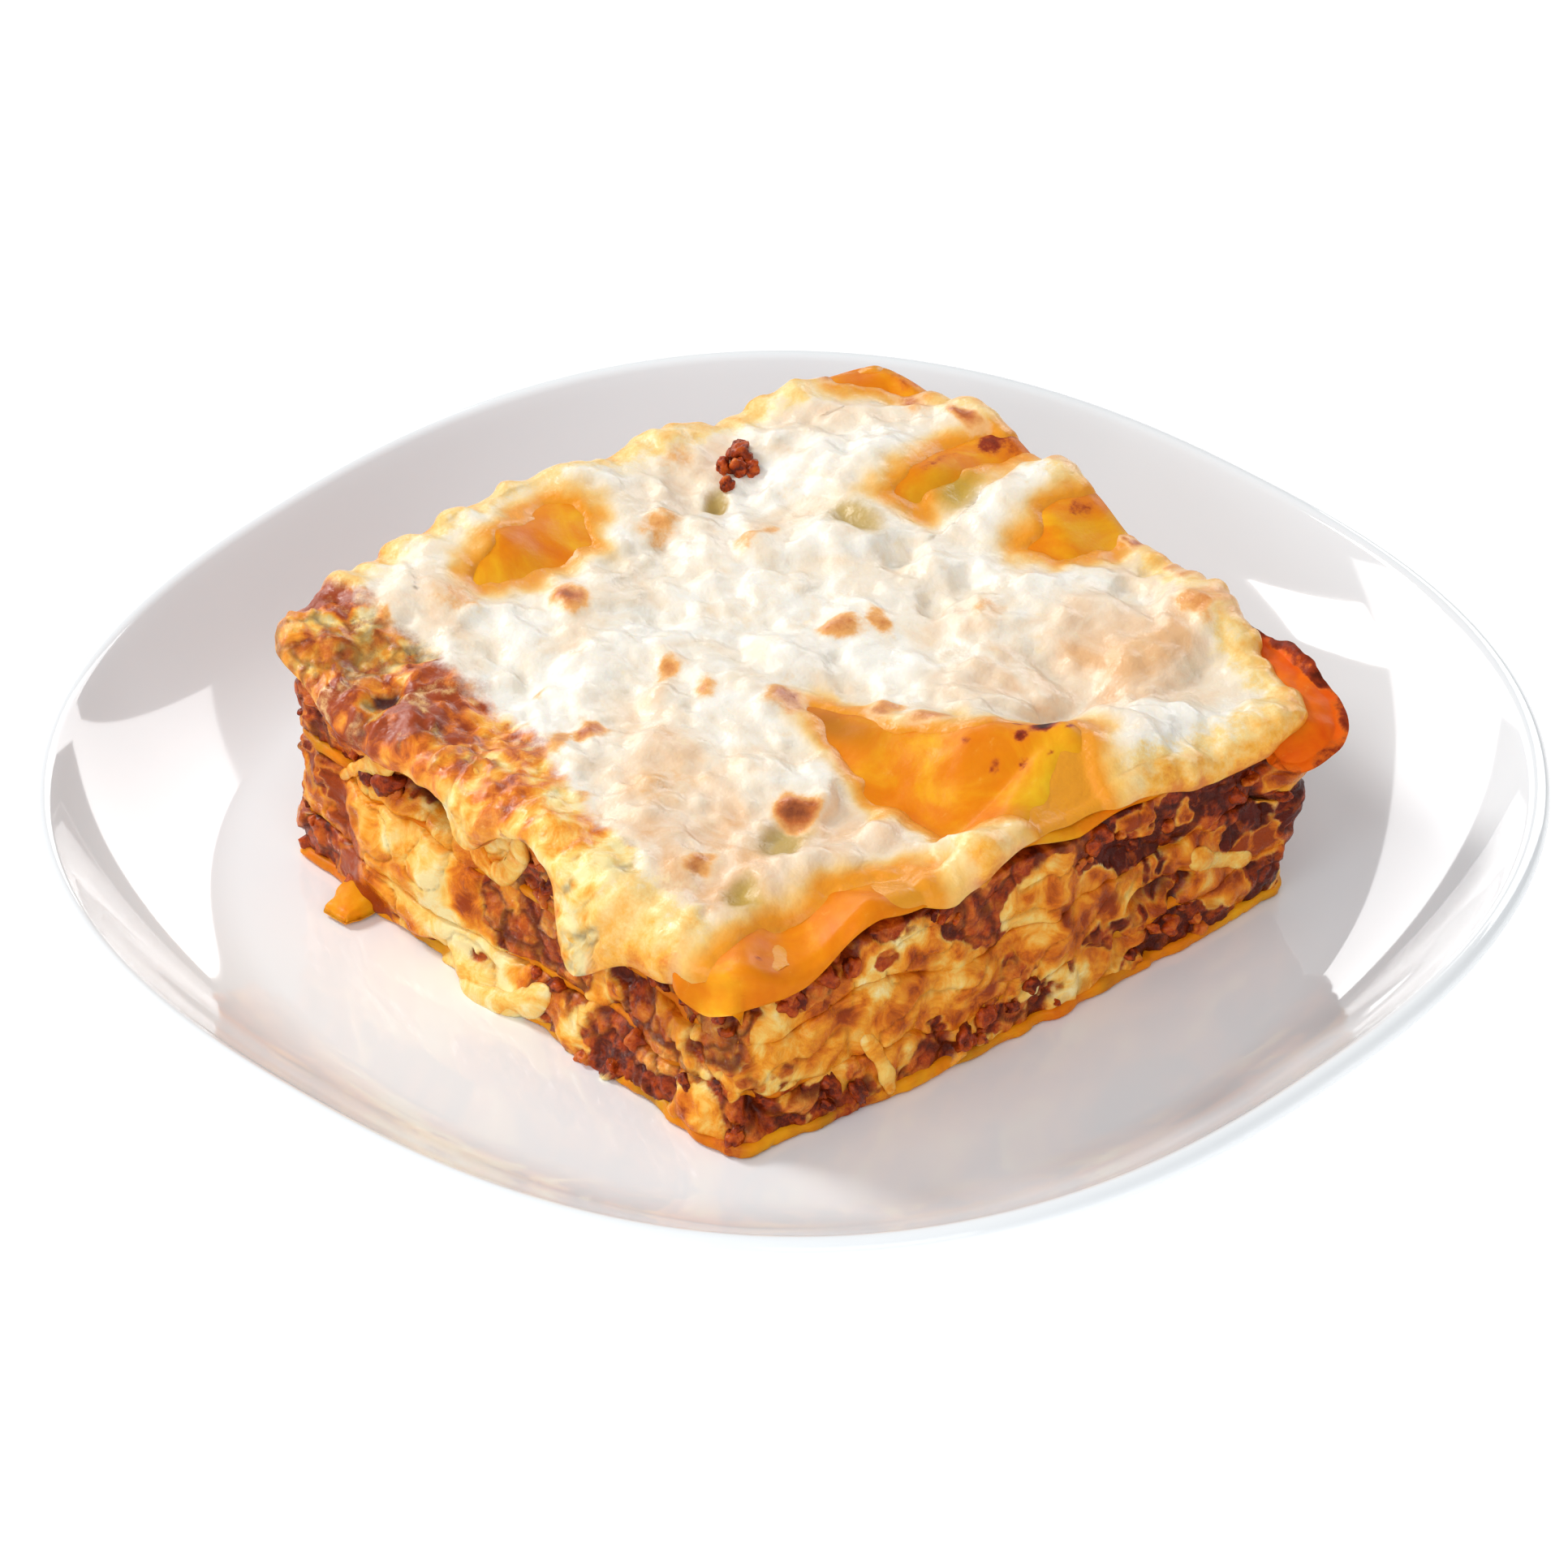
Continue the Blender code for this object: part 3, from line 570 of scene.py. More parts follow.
def filling(points, column, meat_share, seed_shift=0):
    """Relief in mm and masks of mince bound with sauce, at points near the outline's columns."""
    warp_across = 1.5 * noise(points, 5.0, 501, 2)
    warp_up = 1.2 * noise(points, 4.0, 502, 2)
    meat = meat_share + 0.50 * noise(points, 6.5, 503, 2) + 0.34 * noise(points, 2.4, 504, 2)
    meat_shift, sauce_shift, bulge = np.zeros((3, len(points)))
    for place, height, half_width, half_height, turn, richer, tone, out in FACE_BODIES:
        across = outline.along(place)[column] + warp_across
        mark = turned_spot(across, points[:, 2] / MM - height + warp_up, half_width, half_height, turn, 1.2)
        meat += richer * mark
        meat_shift += tone * mark * (richer > 0)
        sauce_shift += tone * mark * (richer <= 0.2)
        bulge += out * mark
    meat = smoothstep(0.32, 0.68, meat)
    warped = points + np.stack([noise(points, 4.5, 510 + k, 2) for k in range(3)], axis=1) * 1.3 * MM
    near, second, number = cells(warped, CLUMP_SIZE, 520 + seed_shift)
    small_near, small_second, small_number = cells(warped, GRAIN_SIZE, 540 + seed_shift)
    clump = np.sqrt(np.maximum(0.0, 1.0 - (near / 0.9) ** 2)) * (0.4 + 0.9 * number)
    grain = np.sqrt(np.maximum(0.0, 1.0 - (small_near / 0.9) ** 2)) * (0.3 + 0.9 * small_number)
    meat_relief = 1.4 * clump + 0.6 * grain - 1.3 + 0.2 * noise(points, 1.0, 530)
    lobes = noise(points * np.array([1.0, 1.0, 0.75]), 8.0, 506, 2)
    folds = np.abs(noise(warped, 6.0, 507))
    sauce_relief = 1.0 * lobes + 0.45 * noise(points, 3.2, 508, 2) - 0.5 * smoothstep(0.22, 0.0, folds) + 0.3
    offset = bulge + meat * meat_relief + (1.0 - meat) * sauce_relief
    gap = 1.0 - smoothstep(0.02, 0.20, second - near)
    small_gap = 1.0 - smoothstep(0.0, 0.25, small_second - small_near)
    front = smoothstep(-6.0, 6.0, outline.along(0.0)[column])
    far_front = smoothstep(52.0, 75.0, outline.along(0.0)[column])
    far_left = smoothstep(-62.0, -86.0, outline.along(0.0)[column])
    meat_tone = 0.36 - 0.30 * far_front + 0.6 * meat_shift
    meat_tone += 0.40 * (number - 0.5) + 0.35 * (small_number - 0.4)
    sauce_tone = 0.43 + 0.10 * front + 0.26 * far_front + 0.46 * far_left + sauce_shift
    sauce_tone += 0.34 * noise(points, 7.0, 511, 2) + 0.16 * noise(points, 2.2, 512)
    # Painted shade for the "deep" mask: the hollows, the gaps between clumps and the creases in the sauce
    hollow = smoothstep(-1.2, -3.6, bulge)
    deep = np.maximum(hollow, meat * (0.75 * gap + 0.3 * small_gap * (1.0 - gap)))
    deep = np.maximum(deep, (1.0 - meat) * 0.28 * smoothstep(0.12, 0.0, folds))
    tone = meat * meat_tone + (1.0 - meat) * sauce_tone
    return offset, {"meat": meat, "tone": tone, "deep": np.clip(deep, 0.0, 1.0)}


def make_layer(name, material, node, low, high, rows, relief, roundness):
    """A layer that runs through the slice. relief(points, column) gives its wall's offset in mm and masks."""
    t = np.linspace(0.0, 1.0, rows)[:, None]
    z = low + t * (high - low)
    flat = np.column_stack([np.tile(outline.xy, (rows, 1)), z.ravel()])
    offset, masks = relief(flat, np.tile(np.arange(outline.count), rows))
    ends = roundness * (1.0 - np.sqrt(np.maximum(0.0, 1.0 - np.abs(2.0 * t - 1.0) ** 3)))
    offset = offset.reshape(rows, -1) - ends
    wall = np.zeros((rows, outline.count, 3))
    wall[..., :2] = outline.xy + outline.normal * offset[..., None] * MM
    wall[..., :2] += outline.spread * outline.spread_at(z)[..., None]
    wall[..., 2] = z
    below, above = [], []
    for share in INNER_RINGS:
        for level, rim, rings in ((low, wall[0], below), (high, wall[-1], above)):
            ring = np.zeros((outline.count, 3))
            ring[:, :2] = outline.centre + (rim[:, :2] - outline.centre) * share
            ring[:, 2] = level * share + level.mean() * (1.0 - share)
            rings.append(ring)
    stack = np.concatenate([np.array(below), wall, np.array(above[::-1])])
    points = stack.reshape(-1, 3)
    middle = np.array([[*outline.centre, low.mean()], [*outline.centre, high.mean()]])
    faces = [grid_faces(len(stack), outline.count, True), end_fans(outline.count, len(points))]
    padded_masks = {}
    for mask, values in masks.items():
        sides = values.reshape(rows, -1)
        inner = (len(INNER_RINGS), 1)
        padded = np.concatenate([np.tile(sides[0], inner), sides, np.tile(sides[-1], inner)])
        padded_masks[mask] = np.concatenate([padded.ravel(), [0.5, 0.5]])
    points = np.concatenate([points, middle])
    add_piece(name, points, faces, material, (node,), padded_masks)
    return wall


def sheet_relief(base, seed):
    """The cut edge of a pasta sheet, which wanders in and out with the filling."""

    def relief(points, column):
        bulge = filling(points, column, 0.4)[0]
        offset = base + 0.35 * bulge
        offset += 0.9 * noise(points, 16.0, seed, 2) + 0.3 * noise(points, 4.0, seed + 2)
        heat = smoothstep(0.1, 1.1, noise(points, 8.0, seed + 4, 2)) * 0.6
        shade = smoothstep(-0.2, 1.0, noise(points, 6.0, seed + 6, 2)) * 0.6
        return offset, {"scorch": heat, "shade": shade, "pale_and_painted_light": 0.1 * noise(points, 12.0, seed + 8)}

    return relief


def filling_relief(base, meat_share, seed_shift):
    def relief(points, column):
        offset, masks = filling(points, column, meat_share, seed_shift)
        return offset + base, masks

    return relief


def sway(size, height, seed):
    """A smooth up and down of a layer's edge round the slice, in metres."""
    return noise(outline_points(0.0), size, seed, 2) * height * MM


def make_grains(name, material, walls, count, radius_range, seed):
    """Loose lumps of mince sunk most of the way into the walls."""
    rng = np.random.default_rng(seed)
    ball, ball_faces = unit_ball(3)
    points, faces, tones, wall_side_shades = [], [], [], []
    made = 0
    while made < count:
        wall = walls[rng.integers(len(walls))]
        spot_point = wall[rng.integers(1, len(wall) - 1), rng.integers(outline.count)]
        column = int(np.argmin(((outline.xy - spot_point[:2]) ** 2).sum(axis=1)))
        meaty = filling(spot_point[None], np.array([column]), 0.5)[1]["meat"][0]
        if rng.uniform() > meaty:
            continue
        radius = rng.uniform(*radius_range) * MM
        size = radius * rng.uniform(0.65, 1.5, 3)
        turn = np.linalg.qr(rng.normal(size=(3, 3)))[0]
        rough = noise(ball * 2.0 * MM + made * 0.1, 1.5, seed, 2)
        shape = ball * (1.0 + 0.42 * rough[:, None])
        normal = outline.normal[column]
        centre = spot_point + np.array([*(normal * rng.uniform(-0.7, -0.05) * radius), 0.0])
        faces.append(ball_faces + len(ball) * made)
        points.append((shape * size) @ turn + centre)
        tones.append(np.full(len(ball), rng.uniform(0.0, 0.5)) + 0.15 * rough)
        # Painted shade on the side of each lump that faces into the wall
        facing = (points[-1][:, :2] - centre[:2]) @ normal / radius
        wall_side_shades.append(np.clip(0.45 - facing, 0.0, 1.0) * 0.8)
        made += 1
    masks = {"meat": np.ones(len(ball) * count), "tone": np.concatenate(tones)}
    masks["deep"] = np.concatenate(wall_side_shades)
    return add_piece(name, np.concatenate(points), np.concatenate(faces), material, (), masks)


# Strings and runs of sauce on the cut faces: (place, height) along each, half width, half thickness, tone
STRANDS = (
    (((-60, 37), (-64, 38.5), (-70, 38.8), (-77, 37), (-84, 32), (-89, 27)), 2, 1.1, 0.42),
    (((-47, 42), (-47, 36), (-50, 30.5), (-54, 28), (-58, 31), (-60, 37)), 1.8, 1, 0.36),
    (((-56, 45), (-62, 42), (-66, 41.5)), 2.4, 1.2, 0.55),
    (((83, 25), (86, 22.5), (90, 20), (96, 18)), 1.9, 0.7, 0.4),
    (((21, 20), (24, 15), (25.5, 11), (26.5, 8.2)), 2, 0.9, 0.3),
    (((-40, 16), (-44, 11), (-52, 8), (-60, 7.6)), 2.2, 1.3, 0.22),
)
STRAND_SIDES = 14
STRAND_STEP = 0.45  # mm between the rings of points along a run


def make_strands(material):
    """Smooth runs of sauce that lie on the faces, swept along curved lines with tapering ends."""
    points, faces, tones = [], [], []
    total = 0
    for path, half_width, half_thick, tone in STRANDS:
        path = np.array(path, float)
        steps = np.concatenate([[0.0], np.cumsum(np.linalg.norm(np.diff(path, axis=0), axis=1))])
        count = max(10, int(steps[-1] / STRAND_STEP))
        run = np.linspace(0.0, steps[-1], count)
        line = np.stack([np.interp(run, steps, path[:, k]) for k in (0, 1)], axis=1)
        for _ in range(6):
            line[1:-1] = (line[:-2] + 2.0 * line[1:-1] + line[2:]) / 4.0
        column = ((line[:, 0] % outline.length) / outline.length) * outline.count
        normal = outline.at(outline.normal, column)
        spread = outline.at(outline.spread, column) * outline.spread_at(line[:, 1:] * MM)
        base = outline.at(outline.xy, column) + spread
        nearest = np.round(column).astype(int) % outline.count
        on_wall = np.column_stack([base, line[:, 1] * MM])
        bulge = closed_blur(np.concatenate([filling(on_wall, nearest, 0.3)[0]] * 2), 2)[:count]
        centre = on_wall.copy()
        centre[:, :2] += normal * (bulge[:, None] * 0.8 + 0.1) * MM
        ahead = np.gradient(centre, axis=0)
        ahead /= np.linalg.norm(ahead, axis=1)[:, None]
        outward = np.column_stack([normal, np.zeros(count)])
        beside = np.cross(ahead, outward)
        t = np.linspace(0.0, 1.0, count)
        taper = np.sqrt(np.maximum(0.0, 1.0 - np.abs(2.0 * t - 1.0) ** 3))
        taper = taper * (1.0 + 0.4 * noise(centre, 4.0, 71, 2))
        turn = np.arange(STRAND_SIDES) / STRAND_SIDES * math.tau
        ring = (np.cos(turn)[None, :, None] * beside[:, None] * (half_width * taper)[:, None, None]
                + np.sin(turn)[None, :, None] * outward[:, None] * (half_thick * taper)[:, None, None])
        tube = (centre[:, None] + ring * MM).reshape(-1, 3)
        ends = np.array([centre[0], centre[-1]])
        quads = grid_faces(count, STRAND_SIDES, True)
        fans = end_fans(STRAND_SIDES, len(tube))
        triangles = np.concatenate([quads[:, [0, 1, 2]], quads[:, [0, 2, 3]], fans])
        block = np.concatenate([tube, ends])
        if signed_volume(block, triangles) < 0:
            triangles = triangles[:, ::-1]
        points.append(block)
        faces.append(triangles + total)
        tones.append(np.full(len(block), tone) + 0.2 * noise(block, 4.0, 72, 2))
        total += len(block)
    masks = {"meat": np.zeros(total), "tone": np.concatenate(tones), "deep": np.zeros(total)}
    points, faces = np.concatenate(points), np.concatenate(faces)
    return add_piece("sauce_runs", points, faces, material, (), masks)


# ---------------------------------------------------------------- plate

PLATE_SQUARENESS = 2.4  # exponent of the rim's superellipse: 2 is a circle
PLATE_FLOOR_SHARE = 0.75  # of the half width, where the well's floor ends and its wall starts
PLATE_WALL_POWER = 1.8
PLATE_THICKNESS = 3.8
FOOT_OUTER_SHARE = 0.60  # of the half width, as the next one is
FOOT_INNER_SHARE = 0.54
FOOT_RECESS = 2.0
LIP_START, LIP_END = 139.0, -40.0  # degrees round the lip, from the well to the underside
PLATE_SECTORS = 200
FLOOR_CLEARANCE = 0.45  # mm from the well's floor to the slice
PLATE_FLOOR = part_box("pasta_sheet_bottom")[0].z - FLOOR_CLEARANCE * MM


def make_plate():
    """The plate, turned from its section and then squared towards the rim, as smooth as the real one."""
    low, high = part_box("plate")
    radius = high.x
    lip = PLATE_THICKNESS / 2 * MM
    lip_x = radius - lip
    lip_z = high.z - lip
    start = math.radians(LIP_START)
    start_share = (lip_x + lip * math.cos(start)) / radius
    start_z = lip_z + lip * math.sin(start)
    rise_at_start = ((start_share - PLATE_FLOOR_SHARE) / (1.0 - PLATE_FLOOR_SHARE)) ** PLATE_WALL_POWER
    depth = (start_z - PLATE_FLOOR) / rise_at_start

    def well(share):
        rise = np.maximum(0.0, share - PLATE_FLOOR_SHARE) / (1.0 - PLATE_FLOOR_SHARE)
        return PLATE_FLOOR + depth * rise**PLATE_WALL_POWER

    wall_shares = np.linspace(0.765, start_share, 18)[:-1]
    shares = np.concatenate([np.linspace(0.02, PLATE_FLOOR_SHARE, 12), wall_shares])
    profile = [np.column_stack([shares * radius, well(shares)])]
    angles = np.radians(np.linspace(LIP_START, LIP_END, 13))
    profile.append(np.column_stack([lip_x + lip * np.cos(angles), lip_z + lip * np.sin(angles)]))
    under = np.linspace(0.96, FOOT_OUTER_SHARE + 0.03, 22)
    profile.append(np.column_stack([under * radius, well(under) - PLATE_THICKNESS * MM]))
    recess = FOOT_RECESS * MM
    foot = [(FOOT_OUTER_SHARE + 0.014, PLATE_FLOOR - PLATE_THICKNESS * MM),
            (FOOT_OUTER_SHARE + 0.006, 0.6 * MM), (FOOT_OUTER_SHARE, 0.0), (FOOT_INNER_SHARE, 0.0),
            (FOOT_INNER_SHARE - 0.006, 0.6 * MM), (FOOT_INNER_SHARE - 0.016, recess),
            (0.3, recess), (0.02, recess)]
    profile.append(np.array([(share * radius, z) for share, z in foot]))
    profile = np.concatenate(profile)
    turn = np.arange(PLATE_SECTORS) / PLATE_SECTORS * math.tau
    across, along = np.cos(turn), np.sin(turn)
    power = PLATE_SQUARENESS
    stretch = (np.abs(across) ** power + np.abs(along) ** power) ** (-1 / power)
    rows = []
    for x, z in profile:
        factor = 1.0 + (stretch - 1.0) * smoothstep(FOOT_OUTER_SHARE, 0.95, x / radius)
        rows.append(np.column_stack([x * factor * across, x * factor * along, np.full(PLATE_SECTORS, z)]))
    points = np.concatenate(rows)
    middles = np.array([[0.0, 0.0, profile[0, 1]], [0.0, 0.0, profile[-1, 1]]])
    faces = [grid_faces(len(rows), PLATE_SECTORS, True), end_fans(PLATE_SECTORS, len(points))]
    points = np.concatenate([points, middles])
    masks = {"foot": 1.0 - smoothstep(0.1 * MM, 0.6 * MM, points[:, 2])}
    return add_piece("coupe_plate", points, faces, porcelain_material(), ("plate",), masks)


# ---------------------------------------------------------------- top sheet and cheese

def top_plane():
    """Coefficients of the ragu's top as 1, x, y, xy, read from the middle of the CAD layer."""
    points = node_points("ragu_upper")
    distance = np.linalg.norm(points[:, None, :2] - outline.xy[None], axis=2).min(axis=1)
    inner = points[distance > 14.0 * MM]
    upper = inner[inner[:, 2] > inner[:, 2].mean()]
    terms = np.column_stack([np.ones(len(upper)), upper[:, 0], upper[:, 1], upper[:, 0] * upper[:, 1]])
    return np.linalg.lstsq(terms, upper[:, 2], rcond=None)[0]


PLANE = top_plane()
SHEET_THICKNESS = 1.6
SHEET_START = 0.9  # mm from the ragu's top to the sheet's underside

# Folds of the top sheet: crest line, height along it, half width to its right and to its left, all in mm
FOLDS = (
    (((-8, -8), (-3, -24), (2, -36), (10.5, -46.5)), (1.5, 3.8, 6.5, 8.6), 9, 2.4),
    (((10.5, -46.5), (-2, -50), (-18, -55)), (8.6, 5, 2), 4, 5),
    (((30, 17), (47, 16.5), (65, 13.5)), (2, 5, 5.5), 8, 5),
    (((42.5, -4), (54, -5), (66, -7)), (1.5, 4, 4.5), 7.5, 5),
    (((-25, 49.5), (-11, 52.5), (5, 52.5)), (1.5, 4.5, 3.5), 8, 5),
    (((-46, -34), (-58.5, -44)), (1, 2.4), 3, 3), (((-37, -41), (-38, -52)), (1, 4), 5, 5),
    (((50, 46), (66, 38.5), (67.5, 31), (62, 22)), (2, 3, 3, 1.5), 4.5, 4.5),
    (((-50.5, 61.5), (-35, 55)), (2, 2), 6, 5),
)
# Where no cheese covers the sheet: corners of each bare patch, in mm
BARE_PATCHES = (
    ((-7, -12), (-4, -25), (2, -36), (11, -44), (12, -49), (4, -60), (-3, -56), (-7, -52), (-13, -44),
     (-14, -34), (-11, -22)),
    ((40, 15.5), (51, 16.5), (62, 14), (64, 9.5), (54, 11), (43, 11.5)),
    ((46, -6.5), (55, -5.5), (64, -8), (62, -13), (56, -16), (48, -12)),
    ((-20, 46.5), (-13, 50.5), (1, 51.5), (4.5, 49.5), (-1.5, 43), (-6.5, 41.5)),
    ((-66, -38), (-58, -38), (-48, -38.5), (-40, -41), (-30, -45), (-24, -49), (-31, -56), (-60, -60)),
    ((59, 42), (66, 38.5), (68, 30), (64, 31)),
)
SKIRT_SHARE = 0.84  # of the patch's half side, where the blanket starts to bend over the edge
SKIRT_BEND = 3.2  # mm, radius of that bend
SKIRT_STEEPEST = 78.0  # degrees
CORNER_SLUMP = 5.0  # mm that the top sinks towards the cut corner
CORNER_SLUMP_REACH = 30.0  # mm from the corner


def ridge(plan, crest, heights, right, left, wider=1.0):
    """Height of a fold at plan points in mm. The crest is a line of points, with a rounded top."""
    best = np.zeros(len(plan))
    for (start, end), (low, high) in zip(zip(crest[:-1], crest[1:]), zip(heights[:-1], heights[1:])):
        start, end = np.array(start, float), np.array(end, float)
        run = end - start
        offset = plan - start
        t = np.clip(offset @ run / (run @ run), 0.0, 1.0)
        gap = offset - t[:, None] * run
        turned = (run[0] * offset[:, 1] - run[1] * offset[:, 0]) / np.linalg.norm(run)
        to_left = 0.5 + 0.5 * np.clip(turned / (np.linalg.norm(gap, axis=1) + 0.5), -1.0, 1.0)
        width = right + (left * wider - right) * to_left
        across = np.sqrt((gap**2).sum(axis=1) + 1.0) - 1.0
        best = np.maximum(best, (low + t * (high - low)) * np.exp(-((across / width) ** 1.7)))
    return best


def patch_distance(plan, corners):
    """Signed distance in mm from plan points to a patch's rim, negative inside."""
    nearest = np.full(len(plan), 1e9)
    inside = np.zeros(len(plan), bool)
    for start, end in zip(corners, corners[1:] + corners[:1]):
        start, end = np.array(start, float), np.array(end, float)
        run = end - start
        offset = plan - start
        t = np.clip(offset @ run / (run @ run), 0.0, 1.0)
        nearest = np.minimum(nearest, np.linalg.norm(offset - t[:, None] * run, axis=1))
        crosses = (start[1] > plan[:, 1]) != (end[1] > plan[:, 1])
        at_x = start[0] + (plan[:, 1] - start[1]) * run[0] / (run[1] if abs(run[1]) > 1e-9 else 1e-9)
        inside ^= crosses & (plan[:, 0] < at_x)
    return np.where(inside, -nearest, nearest)


class Blanket:
    """A sheet over the slice that bends down over its edge. skirt is its length past the edge, by column."""

    def __init__(self, cell_counts, skirt, wider):
        u, v = (np.linspace(-1.0, 1.0, count + 1) for count in cell_counts)
        grid_u, grid_v = (block.ravel() for block in np.meshgrid(u, v, indexing="ij"))
        self.shape = (len(u), len(v))
        reach = np.maximum(np.abs(grid_u), np.abs(grid_v))
        shrink = np.minimum(1.0, SKIRT_SHARE / np.maximum(reach, 1e-9)) / SKIRT_SHARE
        core = outline.inside(grid_u * shrink, grid_v * shrink)
        column = outline.border_column(grid_u, grid_v)
        normal = outline.at(outline.normal, column)
        normal /= np.linalg.norm(normal, axis=1)[:, None]
        self.past = np.clip((reach - SKIRT_SHARE) / (1.0 - SKIRT_SHARE), 0.0, 1.0)
        self.column = column
        self.length = outline.at(skirt, column)
        out = self.past * self.length
        angle = np.minimum(out / SKIRT_BEND, math.radians(SKIRT_STEEPEST))
        straight = np.maximum(0.0, out - SKIRT_BEND * angle)
        sideways = SKIRT_BEND * np.sin(angle) + straight * np.cos(angle)
        drop = SKIRT_BEND * (1.0 - np.cos(angle)) + straight * np.sin(angle)
        self.plan = core / MM
        lift = np.zeros(len(core))
        for crest, heights, right, left in FOLDS:
            lift = np.maximum(lift, ridge(self.plan, crest, heights, right, left, wider))
        x, y = core.T
        plane = PLANE[0] + PLANE[1] * x + PLANE[2] * y + PLANE[3] * x * y
        low_wave = noise(np.column_stack([core, np.zeros(len(core))]), 20.0, 5, 2) * 1.5
        from_cut = np.linalg.norm(self.plan - outline.xy[0] / MM, axis=1)
        slump = CORNER_SLUMP * smoothstep(CORNER_SLUMP_REACH, 3.0, from_cut)
        z = plane + (SHEET_START + SHEET_THICKNESS + lift + low_wave - drop - slump) * MM
        self.base = np.column_stack([core + normal * sideways[:, None] * MM, z])
        block = self.base.reshape(*self.shape, 3)
        along_u, along_v = np.gradient(block, axis=0), np.gradient(block, axis=1)
        facing = np.cross(along_u, along_v).reshape(-1, 3)
        self.normal = facing / np.maximum(np.linalg.norm(facing, axis=1), 1e-12)[:, None]

    def solid(self, name, over, under, material, nodes, masks):
        """Closes the blanket between two offsets in mm along its normal."""
        top = self.base + self.normal * over[:, None] * MM
        bottom = self.base + self.normal * under[:, None] * MM
        points = np.concatenate([top, bottom])
        doubled = {mask: np.concatenate([values, values]) for mask, values in masks.items()}
        return add_piece(name, points, shell_faces(*self.shape), material, nodes, doubled)


# How far the top sheet and the cheese hang over the edge: place, half width and length, added to a base
SHEET_SKIRT_BASE = 2.8
SHEET_SKIRT = (
    (-4, 6, 6), (-13, 8, 3), (6, 8, 3), (24, 10, 1),
)
CHEESE_SKIRT_BASE = 3.4
CHEESE_SKIRT = (
    (8, 9, -2.6), (-14, 8, 5), (-24, 5, 8), (-30, 5, 13), (-54, 6, 8), (-75, 12, 3), (34, 9, 1.5),
    (80, 14, 1),
)

# Browned spots of the cheese: place, half length, half width, turn in degrees, darkness
BROWN_SPOTS = (
    (-14, 33, 3.6, 2.6, 70, 0.75), (10, 37, 4.5, 3.5, 0, 0.4), (16.5, 24, 3, 2, -10, 0.4),
    (20.5, 23, 2.2, 2, 0, 0.45), (-15.5, 11, 3.5, 1.8, 20, 0.5), (-15.5, 3, 3, 2.2, 30, 0.5),
    (-9, -8, 4.2, 3, 60, 0.65), (10.5, -0.5, 4, 2.2, -40, 0.55), (15.5, -4, 4, 2.2, 60, 0.5),
    (29, -15.5, 3, 3, 0, 0.32), (0, -20.5, 3.4, 1.8, -50, 0.6), (0.5, -28, 4, 1.8, -60, 0.6),
    (-26.5, -25.5, 3.8, 3.2, 60, 0.85), (-46.5, -23.5, 4.5, 2.8, -20, 0.55), (-37.5, -7, 8, 5, 10, 0.3),
    (-49.5, -0.5, 3, 1.6, 0, 0.55), (-35, 9, 3.5, 2.5, -30, 0.65), (-41, 11, 4.5, 2.5, 20, 0.5),
    (-26.5, 45.5, 4.5, 4, 0, 0.38), (-39, 50, 3.5, 1.8, 20, 0.5), (-40.5, 56.5, 2, 1.2, 50, 0.95),
    (49.5, 50, 1.8, 1.6, 0, 0.95), (58.5, -27, 2.2, 1.4, 30, 0.8), (-32.5, 22.5, 2, 1.5, 0, 0.35),
    (52, -38, 5, 3, 60, 0.5), (57, -36, 3, 1.6, 60, 0.7), (55, -44, 6, 2.4, 70, 0.6),
    (60, -28, 3, 1.6, 70, 0.8), (61, -16, 3, 1.6, 70, 0.9), (-55.5, 54.5, 4, 3, 30, 0.5),
    (62, 31, 6, 2.6, 60, 0.6), (65, 36, 4, 2.4, 70, 0.75), (57, 44, 4, 1.8, -40, 0.6),
    (-32, -10, 4, 3, 0, 0.25), (39, -37, 4, 2.5, 20, 0.2), (-4.5, 42, 2, 1.4, 0, 0.3),
    (-23.5, 23.5, 2.5, 2, 0, 0.2), (62, 19.5, 4, 2, 80, 0.7), (63.5, 0, 3, 2, 80, 0.6),
    (62, -14.5, 2.2, 1.6, 80, 0.95), (58, -31, 4, 1.8, 75, 0.55), (25.5, 48, 5, 2.5, 0, 0.35),
)
# Oily see-through dips in the cheese: place, half length, half width, turn, depth in mm
OIL_DIPS = (
    (-32.5, -28.5, 6.5, 4, 10, 2), (-46, -33, 4.5, 2.6, 20, 1.6), (23, 36.5, 4, 2.2, 25, 1.4),
    (32, 16, 4, 5, 0, 1.2), (49, 9.5, 5, 3, 0, 0.8),
)
# Soft shallow hollows that only shade the cheese: place, radius, depth in mm
HOLLOWS = (
    (6, 32.5, 6, 1.6), (30.5, 5.5, 6, 1.5), (30.5, 24, 5, 1.3), (-19.5, -31, 6, 2.2), (-16.5, -17, 5, 1.5),
    (1, -13.5, 4, 1.6), (26.5, -6, 4, 1.3), (34, -7, 4, 1.2), (13, -26.5, 4, 0.8), (28, -29, 4, 0.8),
    (-34, 24.5, 5, 0.9), (-25, 11, 5, 0.8), (-2, 36, 3, 1), (44.5, -46.5, 5, 1), (-21, -42.5, 6, 1.4),
    (34, -45.5, 6, 0.8), (44.5, 27, 4, 0.8), (-1, 9, 4, 0.7), (-8.5, 23.5, 5, 0.7), (48.5, -26, 4, 1),
)


def spot(plan, x, y, half_length, half_width, turn):
    return turned_spot(plan[:, 0] - x, plan[:, 1] - y, half_length, half_width, turn, 1.3)


def strongest(plan, rows):
    """Largest of the marks at plan points, from rows of place, half length, half width, turn and amount."""
    best = np.zeros(len(plan))
    for *mark, amount in rows:
        best = np.maximum(best, amount * spot(plan, *mark))
    return best


